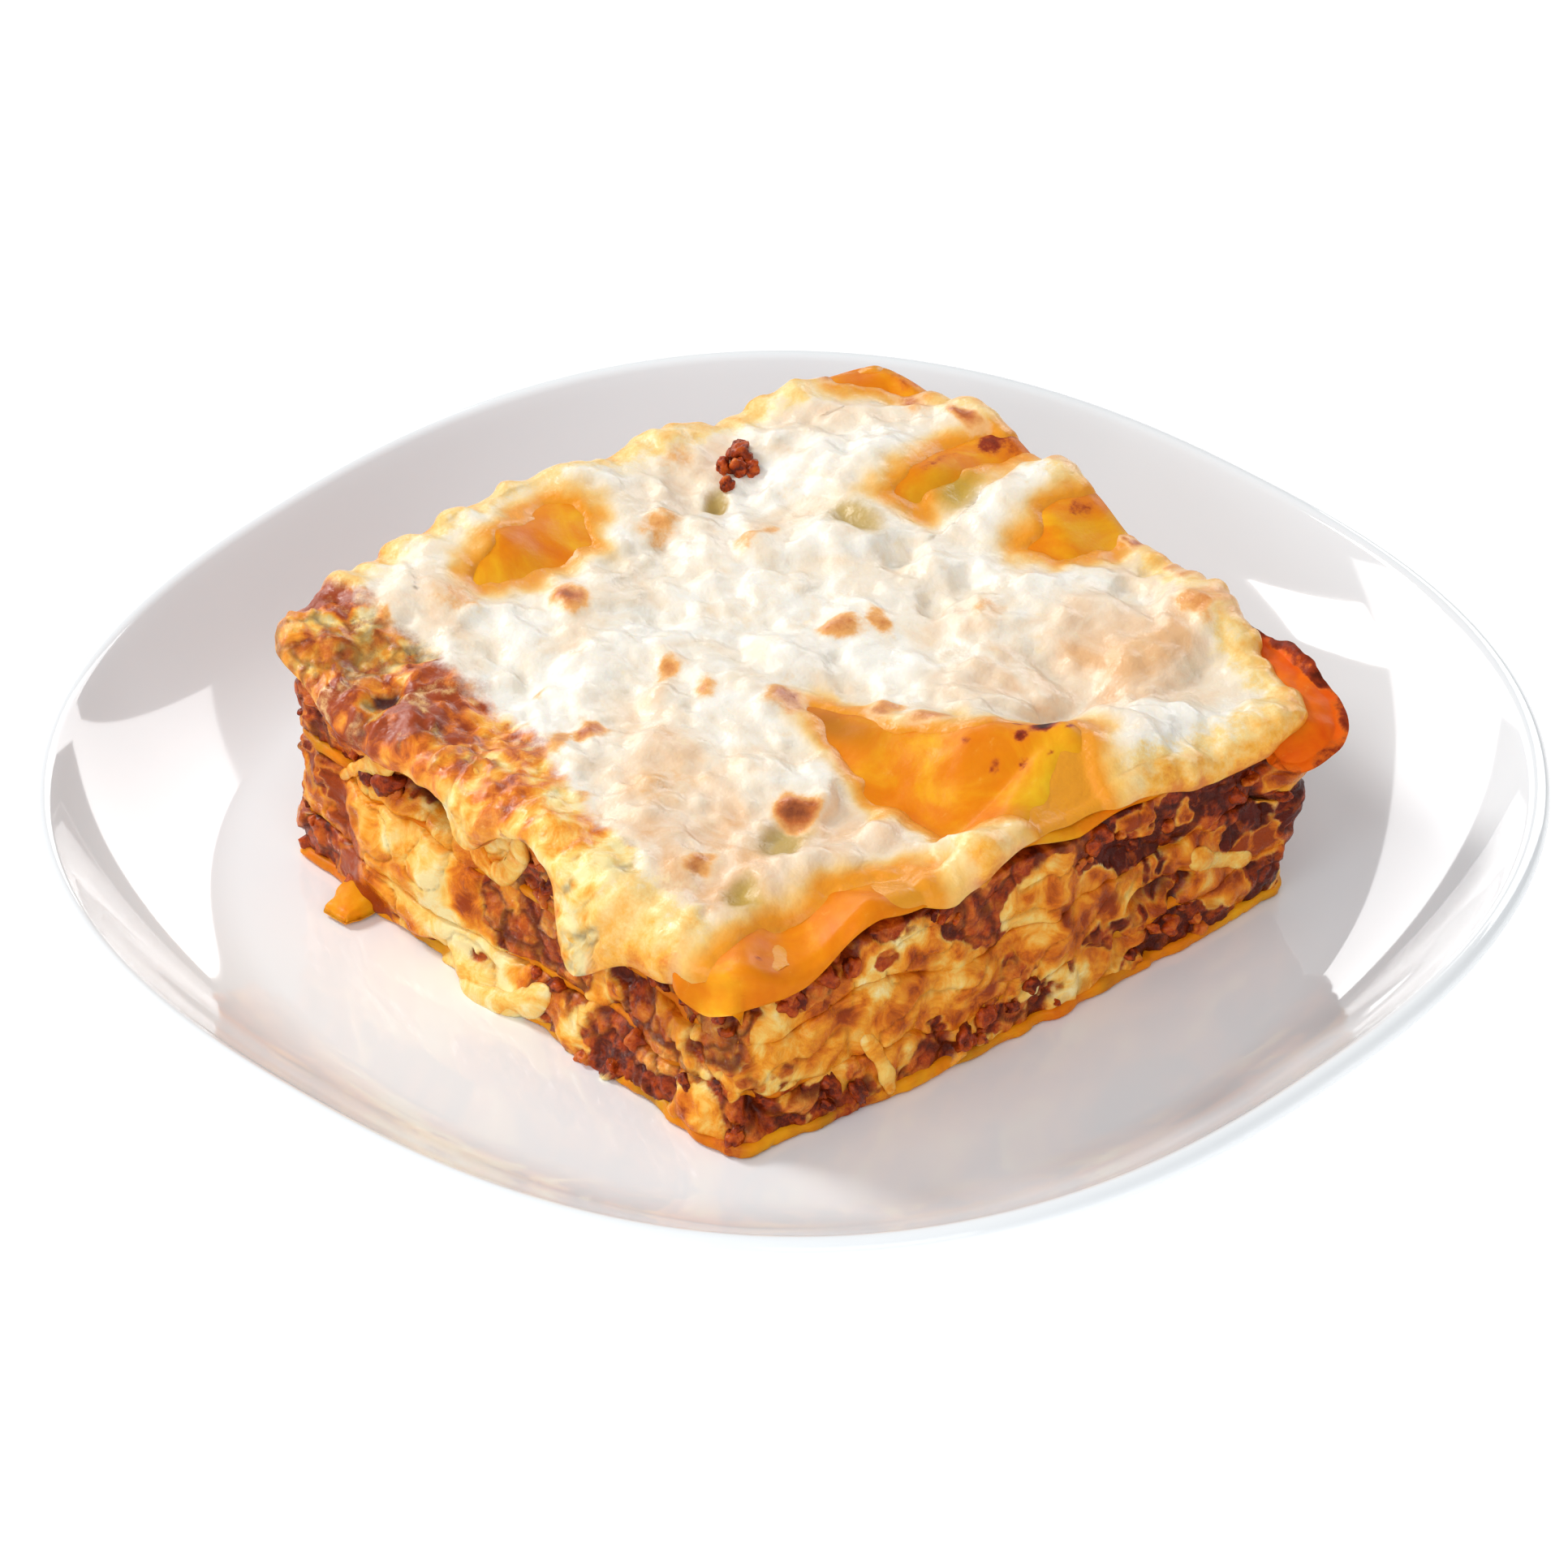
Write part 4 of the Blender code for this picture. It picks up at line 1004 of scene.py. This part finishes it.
def bare_distance(plan):
    """Distance in mm to the nearest bare part of the sheet, with a ragged line. It is negative inside."""
    flat = np.column_stack([plan * MM, np.zeros(len(plan))])
    ragged = 1.3 * noise(flat, 5.0, 31, 2)
    nearest = np.full(len(plan), 1e9)
    for corners in BARE_PATCHES:
        nearest = np.minimum(nearest, patch_distance(plan, corners))
    return nearest + ragged


# Charred and toasted places of the bare sheet: place, half length, half width, turn, heat
TOP_SHEET_BURNS = (
    (63, 9, 5, 5, 0, 0.45), (9, -44, 2.6, 1.8, -30, 0.95), (5, -43, 1.6, 1.2, 10, 0.8),
    (-1, -43, 1.6, 1.2, 10, 0.6), (10, -38, 2, 5, 30, 0.35), (58, -7, 3, 1.2, 20, 0.5),
    (-61, -44, 3, 1.2, 20, 0.6), (66, 35, 3, 6, 0, 0.55), (-9, -12, 3, 3, 0, 0.35),
    (61, 13, 4, 2.6, 0, 0.7), (50, 15, 6, 1.4, 0, 0.45), (59, -8, 3, 2, 0, 0.5),
    (7, -40.5, 1.3, 0.9, 0, 0.8), (2, -46, 1.5, 0.9, 20, 0.6), (11, -47.5, 1.2, 0.8, 0, 0.7),
    (-1, -37, 1, 1.4, 0, 0.5), (5.5, -48.5, 1, 0.7, 0, 0.55), (3.5, -33, 1.2, 1, 0, 0.5),
    (-58, -45, 1.2, 0.9, 0, 0.7), (-50, -50, 1.6, 0.8, 20, 0.6), (-45, -49, 1, 0.8, 0, 0.5),
    (-54, -43, 1.2, 0.9, 0, 0.5), (-61, -40, 1.4, 1, 0, 0.5),
)


# Painted shade on the sheet's folds, and painted light (+) and painted shade (-) on their facets: place, half
# length, half width, turn, amount
FOLD_PAINTED_SHADE = ((-8, -16, 3, 8, 10, 0.5), (46, 12, 8, 3, 0, 0.2))
FACET_PAINTED_LIGHT_AND_SHADE = (
    (3, -51, 11, 4.5, 15, 0.22), (-6, -38, 6, 8, 0, 0.06), (-60, -42, 4, 3, 50, 0.2),
    (-46, -46, 12, 7, -15, -0.1), (55, -12, 8, 5, 0, 0.1),
)


def make_top_sheet(material):
    skirt = SHEET_SKIRT_BASE + place_bumps(SHEET_SKIRT) + 0.8 * noise(outline_points(0.0), 12.0, 77)
    blanket = Blanket(SHEET_CELLS, skirt, 1.0)
    rim = smoothstep(0.55, 1.0, blanket.past)
    ripple = 0.35 * noise(blanket.base, 7.0, 61, 2)
    from_cut = np.abs(outline.at(outline.along(0.0), blanket.column % outline.count))
    run = blanket.column * COLUMN_SPACING * MM
    pleats = noise(np.column_stack([run, 0 * run, 4.0 * blanket.past * MM]), 6.5, 44, 2)
    pleats *= 1.7 * smoothstep(0.15, 0.8, blanket.past) * smoothstep(34.0, 12.0, from_cut)
    over = ripple * (1.0 - rim) + pleats
    under = over - SHEET_THICKNESS * (1.0 - 0.45 * rim)
    heat = strongest(blanket.plan, TOP_SHEET_BURNS)
    # Painted shade and painted light on the folds and facets of the top sheet
    shade = sum(amount * spot(blanket.plan, *mark) for *mark, amount in FOLD_PAINTED_SHADE)
    pale_and_painted_light = sum(amount * spot(blanket.plan, *mark) for *mark, amount in FACET_PAINTED_LIGHT_AND_SHADE)
    masks = {"scorch": heat, "shade": np.clip(shade, 0.0, 0.8), "pale_and_painted_light": pale_and_painted_light}
    return blanket.solid("top_pasta_sheet", over, under, material, ("pasta_sheet_top",), masks)


# Where the cheese is darker and more tan than elsewhere: place, half length, half width, turn, amount
WARM_PLACES = (
    (38, -36, 26, 14, -15, 0.95), (28, -12, 12, 9, 0, 0.35), (-25, -36, 24, 12, -15, 0.95),
    (-44, -26, 22, 18, 0, 1), (-34, -6, 13, 11, 0, 0.9), (-2, -12, 8, 8, 0, 0.55), (20, 26, 12, 8, 0, 0.35),
    (30, 44, 26, 8, 0, 0.5), (-36, 48, 14, 8, 0, 0.55), (55, -25, 8, 18, 0, 0.7), (-24, 4, 10, 8, 0, 0.4),
)
# How far in from the left side the filling shows at the top: (y, width), in mm
LEFT_BAND = (
    (-44, 0), (-31, 0), (-20, 1.2), (-11, 4.5), (-2, 8), (9, 11), (19, 12), (29, 13), (41, 14), (58, 12),
)
# Lumps of that band: x, y, half length, half width, turn, meat, tone, height in mm
BAND_BODIES = (
    (-49.5, 38.5, 3.6, 2.6, 30, 0.8, -0.5, -2.6), (-55, 45, 4, 3.5, 0, 0.8, 0.15, 0.8),
    (-48, 48, 6, 4.5, 30, 0.3, 0.3, 0.5), (-48.5, 55.5, 5, 2.5, 20, -0.9, 0.3, 0.5),
    (-56, 30, 4.5, 5, 0, -0.8, 0.22, 0.6), (-50, 27, 4, 5, 0, 0.2, 0.45, 0.3),
    (-55.5, 20.5, 3.5, 3, 0, -0.2, 0.1, 0.8), (-53.5, 14.5, 4, 5, 30, -0.7, 0.2, 0.5),
    (-55, 7, 3.5, 4, 0, 0.3, 0.3, 0.3), (-54.5, -0.5, 4.5, 3, -40, -0.6, 0.28, 0.5),
    (-59.5, -7.5, 3.5, 6, 10, -1, 0.05, 0.6), (-60, -17, 4, 8, 0, -1.2, -0.2, 0.5),
    (-45, 12, 4, 2.5, 20, 0.5, 0.35, 0.3), (-60.5, 38.5, 3, 3, 0, 0.7, 0.15, 0.6),
    (-44.5, 41.5, 4, 5, 0, -0.5, 0.15, 0.2),
)


CHEESE_THICKNESS = 2.7
CHEESE_SINK = 1.15  # mm from the sheet's face down to the cheese's underside


def make_cheese(material):
    skirt = CHEESE_SKIRT_BASE + place_bumps(CHEESE_SKIRT) + 0.9 * noise(outline_points(0.0), 9.0, 78, 2)
    blanket = Blanket(TOP_CELLS, np.maximum(0.8, skirt), 2.4)
    plan = blanket.plan
    flat = blanket.base
    to_bare = bare_distance(plan)
    bare = 1.0 - smoothstep(-0.8, 1.4, to_bare)
    lumps = 1.5 * noise(flat, 13.0, 3, 2) + 0.95 * noise(flat, 5.5, 4, 2) + 0.28 * noise(flat, 2.2, 6)
    near, _, number = cells(flat, 6.5, 55)
    pits = (number > 0.6) * smoothstep(0.30, 0.10, near) * 0.8
    blister_near, _, blister_number = cells(flat, 9.0, 66)
    blisters = (blister_number > 0.6) * np.sqrt(np.maximum(0.0, 1.0 - (blister_near / 0.32) ** 2)) * 0.8
    thick = CHEESE_THICKNESS + lumps - pits + blisters
    ragged = 0.9 * np.stack([noise(flat, 3.0, 90 + k, 2) for k in range(2)], axis=1)
    for x, y, radius, depth in HOLLOWS:
        thick -= 1.4 * depth * spot(plan + ragged, x, y, 0.85 * radius, 0.6 * radius, 30)
    brown = np.zeros(len(plan))
    for x, y, length, width, turn, dark in BROWN_SPOTS:
        mark = spot(plan + ragged, x, y, length, width, turn)
        brown = np.maximum(brown, dark * mark)
        thick += 0.5 * mark * (dark > 0.35)
    oil = np.zeros(len(plan))
    for x, y, length, width, turn, depth in OIL_DIPS:
        mark = spot(plan + 0.5 * ragged, x, y, length, width, turn)
        oil = np.maximum(oil, mark)
        thick += 3.0 * mark * (1.0 - mark) - 1.3 * depth * mark
    thick = np.maximum(thick, 0.7)
    to_side = patch_distance(plan, [tuple(point) for point in outline.xy[::20] / MM])
    band = np.interp(plan[:, 1], *np.array(LEFT_BAND).T)
    left_side = outline.xy[outline.starts[3] :: 6] / MM
    from_left = np.linalg.norm(plan[:, None] - left_side[None], axis=2).min(axis=1)
    past_band = from_left - band + 2.2 * noise(flat, 6.0, 95, 2)
    side = smoothstep(4.5, -4.5, past_band) * smoothstep(0.5, 3.0, band)
    relief, masks = filling(flat, np.round(blanket.column).astype(int) % outline.count, 0.30, 3)
    tone_shift = np.zeros(len(plan))
    height = np.zeros(len(plan))
    richer = np.zeros(len(plan))
    for x, y, length, width, turn, meat, tone, rise in BAND_BODIES:
        mark = spot(plan + 1.5 * ragged, x, y, length, width, turn)
        tone_shift += tone * mark
        height += rise * mark
        richer += meat * mark
    masks["meat"] = np.clip(0.35 * masks["meat"] + 0.7 * richer + 0.5 * noise(flat, 2.6, 97, 2), 0.0, 1.0)
    side_thick = np.maximum(0.4, 1.7 + 0.9 * relief + height + 0.45 * noise(flat, 2.0, 99, 2))
    thick = thick * (1.0 - side) + side_thick * side
    rounded = np.sqrt(np.maximum(0.0, 1.0 - smoothstep(0.0, 1.0, blanket.past) ** 2.5))
    feather = 0.12 + 0.88 * smoothstep(0.0, 9.0, to_bare)
    over = thick * feather * (0.35 + 0.65 * rounded) * (1.0 - bare) - 0.75 * bare
    under = np.full(len(over), -CHEESE_SINK)
    rim = smoothstep(-7.0, 1.0, to_side) * 0.55 + 0.42 * blanket.past
    # Painted shade in the band's low places, on top of the filling's painted shade
    masks["deep"] = np.maximum(masks["deep"] * 0.8, smoothstep(-1.0, -2.2, height))
    masks["tone"] = masks["tone"] + tone_shift - 0.16 + 0.25 * masks["meat"] + 0.18 * noise(flat, 2.2, 98, 2)
    warm = strongest(plan + 2.0 * ragged, WARM_PLACES)
    thin = smoothstep(9.5, -0.5, to_bare)
    masks |= {"brown": brown, "oil": oil, "rim": rim, "side": side, "warm": warm, "thin": thin}
    return blanket.solid("cheese_blanket", over, under, material, ("cheese_topping",), masks)


# Crumbs of mince on the cheese: place, radius in mm
MORSELS = (
    (32, 40, 1.9), (30.2, 38.6, 1.6), (33.6, 41.6, 1.4), (29, 40.6, 1.2), (26.5, 37.6, 1.1),
    (31.6, 37.2, 1.3),
)


def make_morsels(material, cheese):
    """A clump of mince that lies on the cheese near the back."""
    surface = np.array([vertex.co[:] for vertex in cheese.data.vertices])
    ball, ball_faces = unit_ball(4)
    points, faces, tones = [], [], []
    for number, (x, y, radius) in enumerate(MORSELS):
        near = np.linalg.norm(surface[:, :2] - np.array([x, y]) * MM, axis=1) < 1.0 * MM
        z = surface[near, 2].max() + 0.25 * radius * MM
        rough = noise(ball * 1.6 * MM + number * 0.1, 1.3, 47, 3)
        points.append(ball * (1.0 + 0.4 * rough[:, None]) * radius * MM + np.array([x * MM, y * MM, z]))
        faces.append(ball_faces + len(ball) * number)
        tones.append(0.18 + 0.25 * rough)
    count = len(ball) * len(MORSELS)
    masks = {"meat": np.ones(count), "tone": np.concatenate(tones), "deep": np.zeros(count)}
    points, faces = np.concatenate(points), np.concatenate(faces)
    return add_piece("mince_morsels", points, faces, material, (), masks)


# ---------------------------------------------------------------- the loose ends of pasta

# Along the flap: mm from the right corner, how far it reaches out of the slice, how far its rim hangs down
FLAP_SECTIONS = (
    (-6, 3, 10.5), (-3, 7.5, 6.5), (0, 9.5, 4), (5, 9.8, 0.5), (13, 8.5, -1.2), (20, 6.5, -1), (27, 2, -1),
)
FLAP_START_DEPTH = 2.0  # mm from the top of the CAD flap to where this one comes out of the slice
FLAP_INSIDE = 3.0  # mm of it that lies inside the slice


def make_flap(material):
    """The browned end of a sheet with a charred rim, which comes out under the cheese at the right corner."""
    rows, columns = 50, 110
    path, along = unit_grid(rows, columns)
    sections, reach, hang = np.array(FLAP_SECTIONS).T
    place = sections[0] + along * (sections[-1] - sections[0])
    column = outline.starts[1] + place / COLUMN_SPACING
    base = outline.at(outline.xy, column)
    normal = outline.at(outline.normal, column)
    tooth = noise(np.column_stack([along * 33 * MM, path * 0, path * 0]), 2.2, 12, 2)
    reach = np.interp(place, sections, reach)
    hang = np.interp(place, sections, hang)
    for step in range(2):
        reach, hang = (closed_blur(block.reshape(rows, columns)[0], 5) for block in (reach, hang))
        reach, hang = (np.tile(block, rows) for block in (reach, hang))
    reach = reach + 0.45 * tooth
    start_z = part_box("pasta_flap")[1].z - FLAP_START_DEPTH * MM
    out = -FLAP_INSIDE + (reach + FLAP_INSIDE) * path**0.9
    curl = 0.9 * smoothstep(0.8, 1.0, path) * (1.0 + 0.6 * np.sin(along * 15.0))
    flat = np.column_stack([base + normal * out[:, None] * MM, path * 0])
    wave = 0.5 * np.sin(along * 9.0 + 1.0) * path + 0.35 * noise(flat, 5.0, 8, 2)
    z = start_z - (hang * path**2.0 - curl + wave) * MM
    centre = np.column_stack([flat[:, :2], z])
    block = centre.reshape(rows, columns, 3)
    facing = np.cross(np.gradient(block, axis=1), np.gradient(block, axis=0)).reshape(-1, 3)
    facing /= np.linalg.norm(facing, axis=1)[:, None]
    thick = (0.8 + 0.2 * noise(centre, 3.0, 3, 2))[:, None] * MM
    ends = smoothstep(0.94, 1.0, along) * (path > 0.2)
    heat = smoothstep(0.74, 1.02, np.maximum(path, ends) + 0.07 * noise(centre, 2.5, 15))
    heat *= 0.45 + 0.35 * smoothstep(0.0, 0.35, along)
    count = rows * columns
    pale_and_painted_light = 0.25 * smoothstep(0.7, 0.2, path) - 0.1
    masks = {"scorch": np.tile(heat, 2), "shade": np.zeros(2 * count), "pale_and_painted_light": np.tile(pale_and_painted_light, 2)}
    points = np.concatenate([centre + facing * thick, centre - facing * thick])
    faces = shell_faces(rows, columns)
    return add_piece("charred_flap", points, faces, material, ("pasta_flap",), masks)


def make_scrap(material):
    """The torn end of a sheet that lies on the plate."""
    low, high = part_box("pasta_scrap")
    rows, columns = 26, 30
    a, b = unit_grid(rows, columns, -1.0)
    centre_y = (low.y + high.y) / 2
    half = (high.y - low.y) / 2 * (1.0 - 0.5 * a)
    x = high.x + 2.5 * MM - (high.x - low.x + 2.5 * MM) * a
    y = centre_y + half * b - 1.0 * MM * a
    flat = np.column_stack([x, y, np.zeros(len(x))])
    ragged = 0.5 * noise(flat, 3.0, 21, 2)
    lift = 1.3 * (1.0 - b * b) * (1.0 - a) + 0.3 + 0.3 * ragged
    thick = 0.95 * np.sqrt(np.maximum(0.0, 1.0 - np.maximum(a, np.abs(b)) ** 6))
    top = np.column_stack([x, y + ragged * 0.6 * MM, low.z + (lift + 2.0 * thick + 0.2) * MM])
    bottom = np.column_stack([x, y + ragged * 0.6 * MM, low.z + lift * 0.6 * MM])
    points = np.concatenate([top, bottom])
    count = rows * columns
    masks = {"scorch": np.tile(0.3 * a, 2), "shade": np.zeros(2 * count), "pale_and_painted_light": np.full(2 * count, 0.05)}
    faces = shell_faces(rows, columns)
    return add_piece("torn_scrap", points, faces, material, ("pasta_scrap",), masks)


# ---------------------------------------------------------------- build

def make_layers():
    pasta = pasta_material("egg_pasta", (0.92, 0.53, 0.015), (0.80, 0.24, 0.003), (0.70, 0.14, 0.002), 0.1)
    baked_colours = ((0.93, 0.30, 0.008), (0.88, 0.17, 0.004), (0.75, 0.08, 0.003))
    baked = pasta_material("baked_pasta", *baked_colours, 0.05)
    ragu = filling_material("ragu", 0.08)
    sauce = filling_material("white_sauce", 0.08)
    cheese = cheese_material()

    bottom = outline.edge_levels("pasta_sheet_bottom")
    lower = outline.edge_levels("ragu_lower")
    second = outline.edge_levels("pasta_sheet_second")
    white = outline.edge_levels("white_sauce")
    third = outline.edge_levels("pasta_sheet_third")
    upper = outline.edge_levels("ragu_upper")
    floor = np.full(outline.count, PLATE_FLOOR + 0.15 * MM)
    step = sway(15, 1.5, 2)
    rise = sway(17, 1.8, 4)

    def lap(seed):
        """How much of a sheet's cut edge the layer beside it covers, in metres."""
        return (1.3 + 0.9 * noise(outline_points(0.0), 7.0, seed, 2)) * MM

    make_layer("bottom_sheet", pasta, "pasta_sheet_bottom",
               floor, bottom[1] + sway(9, 0.4, 1), 7, sheet_relief(0.3, 11), 0.5)
    lower_wall = make_layer("lower_ragu", ragu, "ragu_lower",
                            bottom[1] - lap(61), lower[1] + lap(62) + step, 20,
                            filling_relief(-0.1, 0.52, 0), 0.5)
    make_layer("second_sheet", pasta, "pasta_sheet_second",
               second[0] + step, second[1] + step, 7, sheet_relief(-0.9, 23), 0.6)
    make_layer("white_sauce_layer", sauce, "white_sauce",
               white[0] - lap(63) + step, white[1] + lap(64) + rise, 30, filling_relief(0.0, 0.32, 0), 0.7)
    make_layer("third_sheet", pasta, "pasta_sheet_third",
               third[0] + rise, third[1] + rise, 7, sheet_relief(-1.1, 37), 0.6)
    upper_wall = make_layer("upper_ragu", ragu, "ragu_upper",
                            upper[0] - lap(65) + rise, upper[1] + 0.9 * MM, 40,
                            filling_relief(-0.3, 0.55, 0), 0.5)
    make_grains("mince_lumps", ragu, [upper_wall, upper_wall, lower_wall], 150, (0.8, 1.8), 9)
    make_strands(sauce)
    make_top_sheet(pasta)
    make_morsels(ragu, make_cheese(cheese))
    make_flap(baked)
    make_scrap(pasta)


# ---------------------------------------------------------------- studio

CAMERA_PLACE = Vector((-1.1896, -1.0888, 1.2059))
CAMERA_TARGET = Vector((-0.00124, 0.00014, 0.02189))
CAMERA_LENS = 297.16


def add_camera():
    data = bpy.data.cameras.new("camera")
    data.lens = CAMERA_LENS
    data.sensor_width = 36.0
    data.clip_start = 0.01
    data.clip_end = 20.0
    camera = bpy.data.objects.new("camera", data)
    camera.location = CAMERA_PLACE
    camera.rotation_euler = (CAMERA_TARGET - CAMERA_PLACE).to_track_quat("-Z", "Y").to_euler()
    bpy.context.scene.collection.objects.link(camera)
    bpy.context.scene.camera = camera


def add_panel(name, azimuth, elevation, distance, size, power, colour=(1.0, 1.0, 1.0), only_shine=False):
    """A rectangular softbox that faces the slice. only_shine leaves it in reflections alone."""
    data = bpy.data.lights.new(name, "AREA")
    data.shape = "RECTANGLE"
    data.size, data.size_y = size
    data.energy = power
    data.color = colour
    light = bpy.data.objects.new(name, data)
    around, up = math.radians(azimuth), math.radians(elevation)
    flat = math.cos(up)
    place = Vector((math.cos(around) * flat, math.sin(around) * flat, math.sin(up))) * distance
    light.location = place + Vector((0.0, 0.0, 0.02))
    light.rotation_euler = (-place).to_track_quat("-Z", "Y").to_euler()
    light.visible_diffuse = not only_shine
    bpy.context.scene.collection.objects.link(light)


def add_studio():
    bpy.ops.mesh.primitive_plane_add(size=6.0, location=(0.0, 0.0, 0.0))
    floor = bpy.context.object
    floor.name = "studio_floor"
    g = Graph("pale_floor", Roughness=0.8, Specular_IOR_Level=0.0, Emission_Strength=0.45)
    g.shader.inputs["Base Color"].default_value = (0.9, 0.9, 0.9, 1.0)
    g.shader.inputs["Emission Color"].default_value = (1.0, 1.0, 1.0, 1.0)
    floor.data.materials.append(g.material)
    world = bpy.data.worlds.new("studio")
    world.use_nodes = True
    background = world.node_tree.nodes["Background"]
    background.inputs["Color"].default_value = (1.0, 1.0, 1.0, 1.0)
    background.inputs["Strength"].default_value = 0.53
    bpy.context.scene.world = world
    add_panel("key", 108, 43, 1.4, (0.32, 0.32), 9.9, (1.0, 0.98, 0.95))
    add_panel("left_fill", 185, 28, 1.2, (0.7, 0.5), 3.5, (0.96, 0.98, 1.0))
    add_panel("front_fill", 236, 34, 1.3, (0.8, 0.6), 2.6)
    add_panel("glaze_left", 12, 26, 1.6, (1.0, 0.9), 11.0, only_shine=True)
    add_panel("glaze_right", 92, 25, 1.6, (2.6, 0.7), 22.0, only_shine=True)
    bpy.context.scene.view_settings.view_transform = "Standard"


add_camera()
add_studio()
make_plate()
make_layers()
